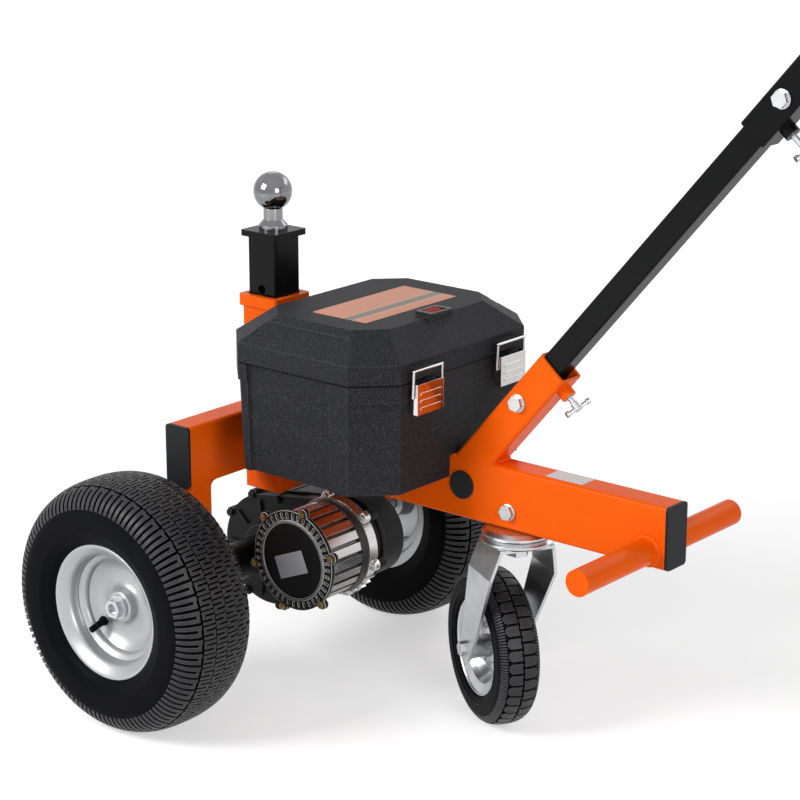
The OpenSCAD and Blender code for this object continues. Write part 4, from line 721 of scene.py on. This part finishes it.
def ring_places(middle, radius, degrees, y):
    """Places on a ring round an axis that runs across the machine."""
    return [(middle.x + radius * mm * math.cos(a), y, middle.z + radius * mm * math.sin(a))
            for a in map(math.radians, degrees)]


flange_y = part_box("motor_flange")[1].y
cover_near, split_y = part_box("gear_cover")[0].y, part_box("gear_cover")[1].y
case_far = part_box("gear_housing")[1].y
big, small = (axle.x / mm, axle.z / mm), (motor.x / mm, motor.z / mm)
big_r, small_r, joint_wide, joint_half, joint_edge = 78.4, 58.4, 5.4, 2.6, 0.8
joint = flat_piece("case_joint", belt(big, big_r, small, small_r), -joint_half, joint_half,
                   Matrix.Translation((0, split_y, 0)) @ upright, joint_edge,
                   belt(big, big_r - joint_wide, small, small_r - joint_wide))
fitted("case_joint", joint, casting, "frame")
origin, nearward, farward, flats, ear_steps = (0, 0, 0), (0, -1, 0), (0, 1, 0), 6, 28
head_outline = rounded_outline([(-0.4, 0, 0), (-0.4, 5.8, 0), (4.4, 5.8, 0.9), (4.4, 0, 0)])
near_head = turned("hex_head", head_outline, origin, flats, nearward)
far_head = turned("hex_head_far", head_outline, origin, flats, farward)
screw_ring_r, screw_angles = 77, (75, 110, 150, 195, 240, 285)
set_on("case_screws_near", ring_places(axle, screw_ring_r, screw_angles, cover_near), near_head, casting)
set_on("case_screws_far", ring_places(axle, screw_ring_r, screw_angles, case_far), far_head, casting)
rib_ring_r, rib_sunk, rib_proud, rib_edge = 57, -0.4, 3.6, 0.9
rib = flat_piece("case_rib", soft_corners(12, 1.6, 1.5), rib_sunk, rib_proud, upright, rib_edge)
set_on("case_ribs", ring_places(axle, rib_ring_r, range(60, 341, 40), cover_near), rib, casting,
       (axle.x, cover_near, axle.z))
bell_ring_r, bell_angles, bell_deep = 63, range(-15, 286, 60), 9
bell_places = ring_places(motor, bell_ring_r, bell_angles, flange_y)
bell_outline = rounded_outline([(0, 0, 0), (0, 7.8, 0.8), (bell_deep, 7.8, 1.4), (bell_deep, 0, 0)])
bell_ear = turned("bell_ear", bell_outline, origin, ear_steps, nearward)
set_on("bell_ears", bell_places, bell_ear, cast_aluminium)
case_outline = rounded_outline([(0, 0, 0), (0, 8.2, 0.8), (13, 8.2, 1.4), (13, 0, 0)])
case_ear = turned("case_ear", case_outline, origin, ear_steps, farward)
set_on("case_bell_ears", bell_places, case_ear, casting)
ear_tops = ring_places(motor, bell_ring_r, bell_angles, flange_y - bell_deep * mm)
set_on("bell_screws", ear_tops, near_head, zinc)


def cut_steel(graph):
    dark, bright, marks = (0.36, 0.36, 0.37), (0.56, 0.56, 0.57), speckle(graph, 700, 3)
    return {"Base Color": mixed(graph, marks, dark, bright), "Metallic": 1.0, "Roughness": 0.25 + 0.2 * marks,
            "Normal": relief(graph, marks, 0.04 * mm, 0.4 * mm)}


dress(finish("cut_steel", cut_steel), "drive_bearings", "idler_gear", "final_gear", "half_shaft_near",
      "half_shaft_far", "armature")


def battery_shell(graph):
    dark, paler, grain = (0.05, 0.055, 0.06), (0.08, 0.085, 0.09), speckle(graph, 800, 2)
    return {"Base Color": mixed(graph, grain, dark, paler), "Roughness": 0.5 + 0.1 * grain,
            "Normal": relief(graph, grain, 0.1 * mm)}


dress(finish("battery_shell", battery_shell), "batteries")


# Drive wheels.
# Each wheel is a rim pressed from sheet in silver paint, with a hub welded in, and a tubeless turf tyre. A
# washer and nut hold it on the half shaft.
def silver_paint(graph):
    grey, bright, flake = (0.36, 0.37, 0.38), (0.49, 0.50, 0.51), speckle(graph, 2200, 1)
    return {"Base Color": mixed(graph, flake, grey, bright), "Metallic": 0.7,
            "Roughness": 0.34 + 0.1 * speckle(graph, 30, 3), "Coat Weight": 0.3, "Coat Roughness": 0.15,
            "Normal": relief(graph, flake, 0.02 * mm, 1.0 * mm)}


silver = finish("silver_paint", silver_paint)
tyre_lo, tyre_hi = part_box("tyre_near")
wheel_r, wheel_w = (tyre_hi.z - tyre_lo.z) / 2 / mm, (tyre_hi.y - tyre_lo.y) / mm
wheel_y = (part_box("tyre_far")[1].y / mm) - wheel_w / 2
seat_r, tread_deep, squareness = 76, 5.4, 2.7


def tyre_skin(angle, half_w, half_h):
    """Distance of a tyre's skin from the middle of its section, at an angle from the crown."""
    return ((abs(math.cos(angle)) / half_h) ** squareness
            + (abs(math.sin(angle)) / half_w) ** squareness) ** (-1 / squareness)


def carcass(half_w, half_h, middle_r, deep, shoulder, bead_r, bead_half):
    """Section of a hollow tyre: its inside, and its skin, lower by the tread's depth up to the shoulder."""
    last_step, step_degrees, fade_degrees, wall = 44, 3.1, 9, 5
    ridge_steps, ridge_tall = (33, 37), 0.8
    skin, inside = [], []
    for i in range(-last_step, last_step + 1):
        a = math.radians(i * step_degrees)
        if middle_r + tyre_skin(a, half_w, half_h) * math.cos(a) < bead_r:
            continue
        share = max(0.0, min(1.0, (math.degrees(abs(a)) - shoulder) / fade_degrees))
        share = share * share * (3 - 2 * share)
        ridge = ridge_tall if abs(i) in ridge_steps else 0
        out = tyre_skin(a, half_w, half_h) - deep * (1 - share) + ridge
        skin.append((out * math.sin(a), middle_r + out * math.cos(a)))
        inner = out - wall
        inside.append((inner * math.sin(a), middle_r + inner * math.cos(a)))
    bead = [(bead_half, bead_r - 1), (bead_half - 5, bead_r - 9), (bead_half - 10, bead_r - 9)]
    return ([(-t, r) for t, r in reversed(bead)] + skin + bead + list(reversed(inside)))


def wrap_tread(tile, count, pitch, middle_r, half_w, half_h):
    """Lays count copies of a flat tread tile end to end and bends them round the tyre. In the tile X runs
    along the tread, Y is the angle from the crown and Z the height over the skin."""
    graph, given, group = node_group("tread", "Tile", "Tread", (
        ("Copies", "Int", count), ("Pitch", "Float", pitch), ("Middle radius", "Float", middle_r),
        ("Half width", "Float", half_w), ("Half height", "Float", half_h)))
    row = graph.node("GeometryNodeMeshLine", {"mode": "OFFSET"}, {
        "Count": given.out("Copies"),
        "Offset": graph.node("ShaderNodeCombineXYZ", None, {"X": given.out("Pitch")})})
    laid = graph.node("GeometryNodeInstanceOnPoints", None, {"Points": row, "Instance": given.out("Tile")})
    solid = graph.node("GeometryNodeRealizeInstances", None, {"Geometry": laid})
    flat = graph.node("ShaderNodeSeparateXYZ", None, {0: graph.node("GeometryNodeInputPosition")})
    turn = flat.out("X") * (2 * math.pi) / (given.out("Copies") * given.out("Pitch"))
    cross = flat.out("Y")
    sine, cosine = graph.maths("SINE", cross), graph.maths("COSINE", cross)
    wide = graph.maths("ABSOLUTE", sine) / given.out("Half width")
    tall = graph.maths("ABSOLUTE", cosine) / given.out("Half height")
    out = ((wide ** squareness + tall ** squareness) ** (-1 / squareness)) + flat.out("Z")
    radius = given.out("Middle radius") + out * cosine
    place = graph.node("ShaderNodeCombineXYZ", None, {
        "X": radius * graph.maths("COSINE", turn), "Y": out * sine, "Z": radius * graph.maths("SINE", turn)})
    bent = graph.node("GeometryNodeSetPosition", None, {"Geometry": solid, "Position": place})
    outward = graph.node("GeometryNodeFlipFaces", None, {"Mesh": bent})
    give(graph, "Tread", outward, trodden)
    return laid_mesh("tread", tile, group)


def lug_tile(lugs, half_w, half_h, sink):
    """Flat tile of lugs, each an outline of (along, across) points in mm and a height over the skin. It is
    cut into strips across, so that it bends, and its places across become angles from the crown."""
    outermost, strip = 84, 4
    reach = [0.0]
    angles = [math.radians(k / 4) for k in range(0, 361)]
    spots = [(tyre_skin(a, half_w, half_h) * math.sin(a), tyre_skin(a, half_w, half_h) * math.cos(a))
             for a in angles]
    for k in range(1, len(spots)):
        reach.append(reach[-1] + math.dist(spots[k], spots[k - 1]))
    shape = bmesh.new()
    for outline, top in lugs:
        ring = [shape.verts.new((u * mm, v * mm, -sink * mm)) for u, v in outline]
        raised(shape, [shape.faces.new(ring)], top)
    for v in range(-outermost, outermost + 1, strip):
        bmesh.ops.bisect_plane(shape, geom=list(shape.verts) + list(shape.edges) + list(shape.faces),
                               plane_co=(0, v * mm, 0), plane_no=(0, 1, 0))
    for v in shape.verts:
        v.co.y = math.copysign(np.interp(abs(v.co.y) / mm, reach, angles), v.co.y)
    bmesh.ops.recalc_face_normals(shape, faces=shape.faces)
    tile = bpy.data.meshes.new("lug_tile")
    shape.to_mesh(tile)
    shape.free()
    return tile


def key_lug(along, across, wide, bar, gap, flip):
    """A three-bar key, like a squared S, standing at a place on the tread."""
    points = [(0, 0), (0, wide), (2 * bar + gap, wide), (2 * bar + gap, bar), (2 * bar + 2 * gap, bar),
              (2 * bar + 2 * gap, wide), (3 * bar + 2 * gap, wide), (3 * bar + 2 * gap, 0), (bar + gap, 0),
              (bar + gap, wide - bar), (bar, wide - bar), (bar, 0)]
    return [(along + u, across + (wide - v if flip else v)) for u, v in points]


turf_count, lug_sunk, tie_sunk, lug_root = 54, -0.1, -0.15, 1.2
turf_pitch = 2 * math.pi * wheel_r / turf_count
key_rows, key_wide, key_bar, key_gap = (-37.5, -18.5, 0.5, 19.5), 17.2, 3.7, 2.9
shoulder_out, shoulder_wide, taper, tie_in, tie_out = 74, 5.4, 0.2, 41.2, 45
turf_lugs = []
for k, across in enumerate(key_rows):
    turf_lugs.append((key_lug(0.5 * turf_pitch * (k % 2), across, key_wide, key_bar, key_gap, k % 2 == 1),
                      lug_sunk))
for side, first in ((-1, 5.0), (1, 1.2)):
    for k, inner in enumerate((41, 40)):
        start = 0.5 * turf_pitch * k + first
        turf_lugs.append(([(start, side * inner), (start + shoulder_wide, side * inner),
                           (start + shoulder_wide - taper, side * shoulder_out),
                           (start + taper, side * shoulder_out)], lug_sunk))
    tie_start, tie_end = first + 5.3, first + 0.5 * turf_pitch + 0.1
    turf_lugs.append(([(tie_start, side * tie_in), (tie_end, side * tie_in), (tie_end, side * tie_out),
                       (tie_start, side * tie_out)], tie_sunk))


def tyre_rubber(graph):
    black, dusty, rubbed = (0.002, 0.0022, 0.003), (0.005, 0.0053, 0.0067), (0.055, 0.055, 0.06)
    fine = speckle(graph, 1300, 3)
    colour = mixed(graph, speckle(graph, 26, 4), black, dusty)
    return {"Base Color": mixed(graph, worn_edge(graph, 1.0 * mm) * 0.5, colour, rubbed),
            "Roughness": 0.36 + 0.16 * fine, "Specular IOR Level": 0.03,
            "Normal": relief(graph, fine, 0.12 * mm)}


def tread_rubber(graph):
    """Rubber that the ground has worn grey, paler along the lugs' edges, partly wear and partly painted
    highlight.
    """
    dark, dusty, wear_and_highlight = (0.010, 0.010, 0.012), (0.022, 0.022, 0.025), (0.12, 0.12, 0.125)
    values = tyre_rubber(graph)
    colour = mixed(graph, speckle(graph, 90, 4), dark, dusty)
    # The pale lug edges are partly wear and partly painted highlight.
    values["Base Color"] = mixed(graph, worn_edge(graph, 1.2 * mm) * 0.8, colour, wear_and_highlight)
    values["Specular IOR Level"] = 0.35
    return values


def tyre_wall(graph):
    """Rubber with painted shade: darker in the tread's grooves."""
    # Where the tread's grooves lie, and the black of the painted shade in them.
    groove_in, groove_out, groove_shade_black = 142.5 * mm, 170 * mm, (0.0012, 0.0012, 0.0014)
    values = tyre_rubber(graph)
    across, up = spot(graph, "X") - axle.x, spot(graph, "Z") - axle.z
    # Painted shade in the grooves between the lugs.
    tread_groove_shade = within(graph, (across * across + up * up) ** 0.5, groove_in, groove_out)
    values["Base Color"] = mixed(graph, tread_groove_shade, values["Base Color"], groove_shade_black)
    return values


rubber = finish("tyre_rubber", tyre_rubber)
walls = finish("tyre_wall", tyre_wall)
trodden = finish("tread_rubber", tread_rubber)
middle_r, half_h = (wheel_r + seat_r) / 2, (wheel_r - seat_r) / 2
turf_tile = lug_tile(turf_lugs, wheel_w / 2, half_h, tread_deep + lug_root)
turf = wrap_tread(turf_tile, turf_count, turf_pitch * mm, middle_r * mm, wheel_w / 2 * mm, half_h * mm)
rim_outline = rounded_outline([
    (52.5, 88, 1.5), (51.5, 84, 3), (45, 75, 5), (41, 72, 5), (30, 70, 12), (17, 58, 9), (9.5, 46, 8),
    (10, 28, 4), (14, 22, 3), (25.5, 20, 2), (25.5, 11, 0), (-17, 11, 0), (-17, 21, 0), (8, 24, 3),
    (6, 46, 5), (2, 57.5, 3), (-30, 57.5, 6), (-36, 72, 6), (-46, 73, 4), (-51, 85, 2), (-52.5, 88, 1),
    (-49.5, 88, 0), (-45, 76, 3), (-34, 75, 4), (-27, 60.5, 5), (26, 60.5, 5), (33, 75, 4), (46, 76, 3),
    (49.5, 88, 0)])
valve_outline = rounded_outline([
    (-3, 0, 0), (-3, 6.5, 1), (1, 6.5, 1.5), (4, 4.6, 1.5), (13, 4.1, 0), (13, 3.4, 0), (14, 3.4, 0),
    (14, 4.3, 0.4), (22.6, 4.3, 1.2), (22.6, 0, 0)])
shoulder_degrees, bead_r, bead_half, wheel_steps, valve_steps = 68, 88.5, 50, 128, 24
turf_skin = carcass(wheel_w / 2, half_h, middle_r, tread_deep, shoulder_degrees, bead_r, bead_half)
for end, side in (("near", -1), ("far", 1)):
    centre = Vector((axle.x, side * wheel_y * mm, axle.z))
    tyre = turned("tyre_" + end, turf_skin, centre, wheel_steps)
    lugs = turf.copy()
    lugs.transform(Matrix.Translation(centre))
    fitted("tyre_%s_body" % end, tyre, walls, "wheel_" + end, ["tyre_" + end])
    fitted("tyre_%s_tread" % end, lugs, trodden, "wheel_" + end, smooth=30)
    rim = turned("rim_" + end, [(side * t, r) for t, r in rim_outline], centre, wheel_steps)
    fitted("rim_%s_pressing" % end, rim, silver, "wheel_" + end, ["rim_" + end], smooth=50)
    valve_foot = centre + Vector((-35.6, side * 20, -29.6)) * mm
    stem = turned("valve_" + end, valve_outline, valve_foot, valve_steps,
                  Vector((0, side * 22, -5.9)).normalized())
    fitted("valve_" + end, stem, rubber, "wheel_" + end)


# Caster tyre.
# Pneumatic tyre with two staggered rows of blocks and fine ribs moulded down its shoulders. The bright flange
# of the zinc plated rim holds its beads.
caster_lo, caster_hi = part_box("caster_tyre")
caster_mid = (caster_lo + caster_hi) / 2
fork_yaw = math.radians(-30)
caster_turn = Matrix.Rotation(fork_yaw, 4, "Z")
caster_axis = caster_turn.to_3x3() @ Vector((0, 1, 0))
caster_r = caster_mid.z / mm
caster_half_w, caster_seat, caster_count, caster_groove, caster_root = 27.9, 56, 40, 3.4, 4.6
caster_half_h, caster_middle = (caster_r - caster_seat) / 2, (caster_r + caster_seat) / 2
caster_pitch = 2 * math.pi * caster_r / caster_count
block = [(0, 1), (6.2, 2.2), (12.4, 1), (12.4, 15.5), (9.6, 18.5), (6.2, 19.2), (2.8, 18.5), (0, 15.5)]
block_first, ribs_each, rib_first, rib_wide, rib_in, rib_out, rib_sunk = 0.5, 4, 0.6, 2.2, 21, 37, -0.3
caster_lugs = []
for side in (-1, 1):
    start = block_first + (0.5 * caster_pitch if side > 0 else 0)
    caster_lugs.append(([(start + u, side * v) for u, v in block], lug_sunk))
    for k in range(ribs_each):
        start = rib_first + k * caster_pitch / ribs_each
        caster_lugs.append(([(start, side * rib_in), (start + rib_wide, side * rib_in),
                             (start + rib_wide - taper, side * rib_out), (start + taper, side * rib_out)],
                            rib_sunk))
caster_tile = lug_tile(caster_lugs, caster_half_w, caster_half_h, caster_root)
caster_tread = wrap_tread(caster_tile, caster_count, caster_pitch * mm, caster_middle * mm,
                          caster_half_w * mm, caster_half_h * mm)
caster_tread.transform(Matrix.Translation(caster_mid) @ caster_turn)
caster_shoulder, caster_bead_r, caster_bead_half = 62, 60.5, 20
caster_skin = carcass(caster_half_w, caster_half_h, caster_middle, caster_groove, caster_shoulder,
                      caster_bead_r, caster_bead_half)
fitted("caster_tyre_body", turned("caster_body", caster_skin, caster_mid, wheel_steps, caster_axis), rubber,
       "caster_wheel", ["caster_tyre"])
fitted("caster_tyre_tread", caster_tread, trodden, "caster_wheel", smooth=30)
flange_steps = 96
flange = rounded_outline([(15.5, 49, 0), (17.5, 54, 3), (20.5, 61, 2.5), (24.2, 63, 1.2), (24.6, 61.4, 0.6),
                          (22.4, 59.6, 2), (19.8, 52.5, 3), (18.4, 47.6, 0)])
for end, side in (("near", -1), ("far", 1)):
    ring = turned("caster_flange_" + end, [(side * t, r) for t, r in flange], caster_mid, flange_steps,
                  caster_axis)
    fitted("caster_flange_" + end, ring, zinc, "caster_wheel", smooth=50)


# Grease nipple.
# Yellow plated nipple screwed into the front of the caster's crown: a hexagon, a neck and a round tip.
seat_out, seat_down, droop, nipple_steps = 29 * mm, 2 * mm, 0.35, 24
ahead = Vector((math.cos(fork_yaw), math.sin(fork_yaw), 0))
crown = (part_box("caster_stem")[0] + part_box("caster_stem")[1]) / 2
seat = Vector((crown.x, crown.y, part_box("caster_fork")[1].z - seat_down)) + ahead * seat_out
nipple_outline = rounded_outline([
    (0, 0, 0), (0, 2.6, 0), (3.4, 2.6, 0), (3.4, 4.2, 0.4), (7.6, 4.2, 0.4), (7.6, 2.4, 0.3), (9.6, 2.2, 0.5),
    (10.2, 3.1, 0.6), (12.4, 2.9, 1.2), (13.2, 1.0, 0.4), (13.2, 0, 0)])
nipple = turned("grease_nipple", nipple_outline, seat, nipple_steps,
                (ahead - Vector((0, 0, droop))).normalized())
fitted("grease_nipple", nipple, brass, "caster")


# Controls.
# The main switch and the speed lever are moulded in gloss red plastic. The grips are soft rubber pushed over
# the ends of the handlebar, and the direction switch is as dull as they are.
def red_switch(graph):
    dark_red, red = (0.26, 0.008, 0.007), (0.36, 0.013, 0.010)
    return {"Base Color": mixed(graph, speckle(graph, 90, 2), dark_red, red),
            "Roughness": 0.18 + 0.08 * speckle(graph, 120, 2), "Specular IOR Level": 0.05,
            "Normal": relief(graph, speckle(graph, 500), 0.03 * mm)}


def grip_rubber(graph):
    black, dusty, fine = (0.018, 0.018, 0.02), (0.03, 0.03, 0.032), speckle(graph, 1800, 2)
    return {"Base Color": mixed(graph, fine, black, dusty), "Roughness": 0.62 + 0.1 * fine,
            "Normal": relief(graph, fine, 0.12 * mm)}


dress(finish("red_switch", red_switch), "rocker_switch", "throttle_lever")
dress(finish("grip_rubber", grip_rubber), "handlebar_grips", "direction_switch")
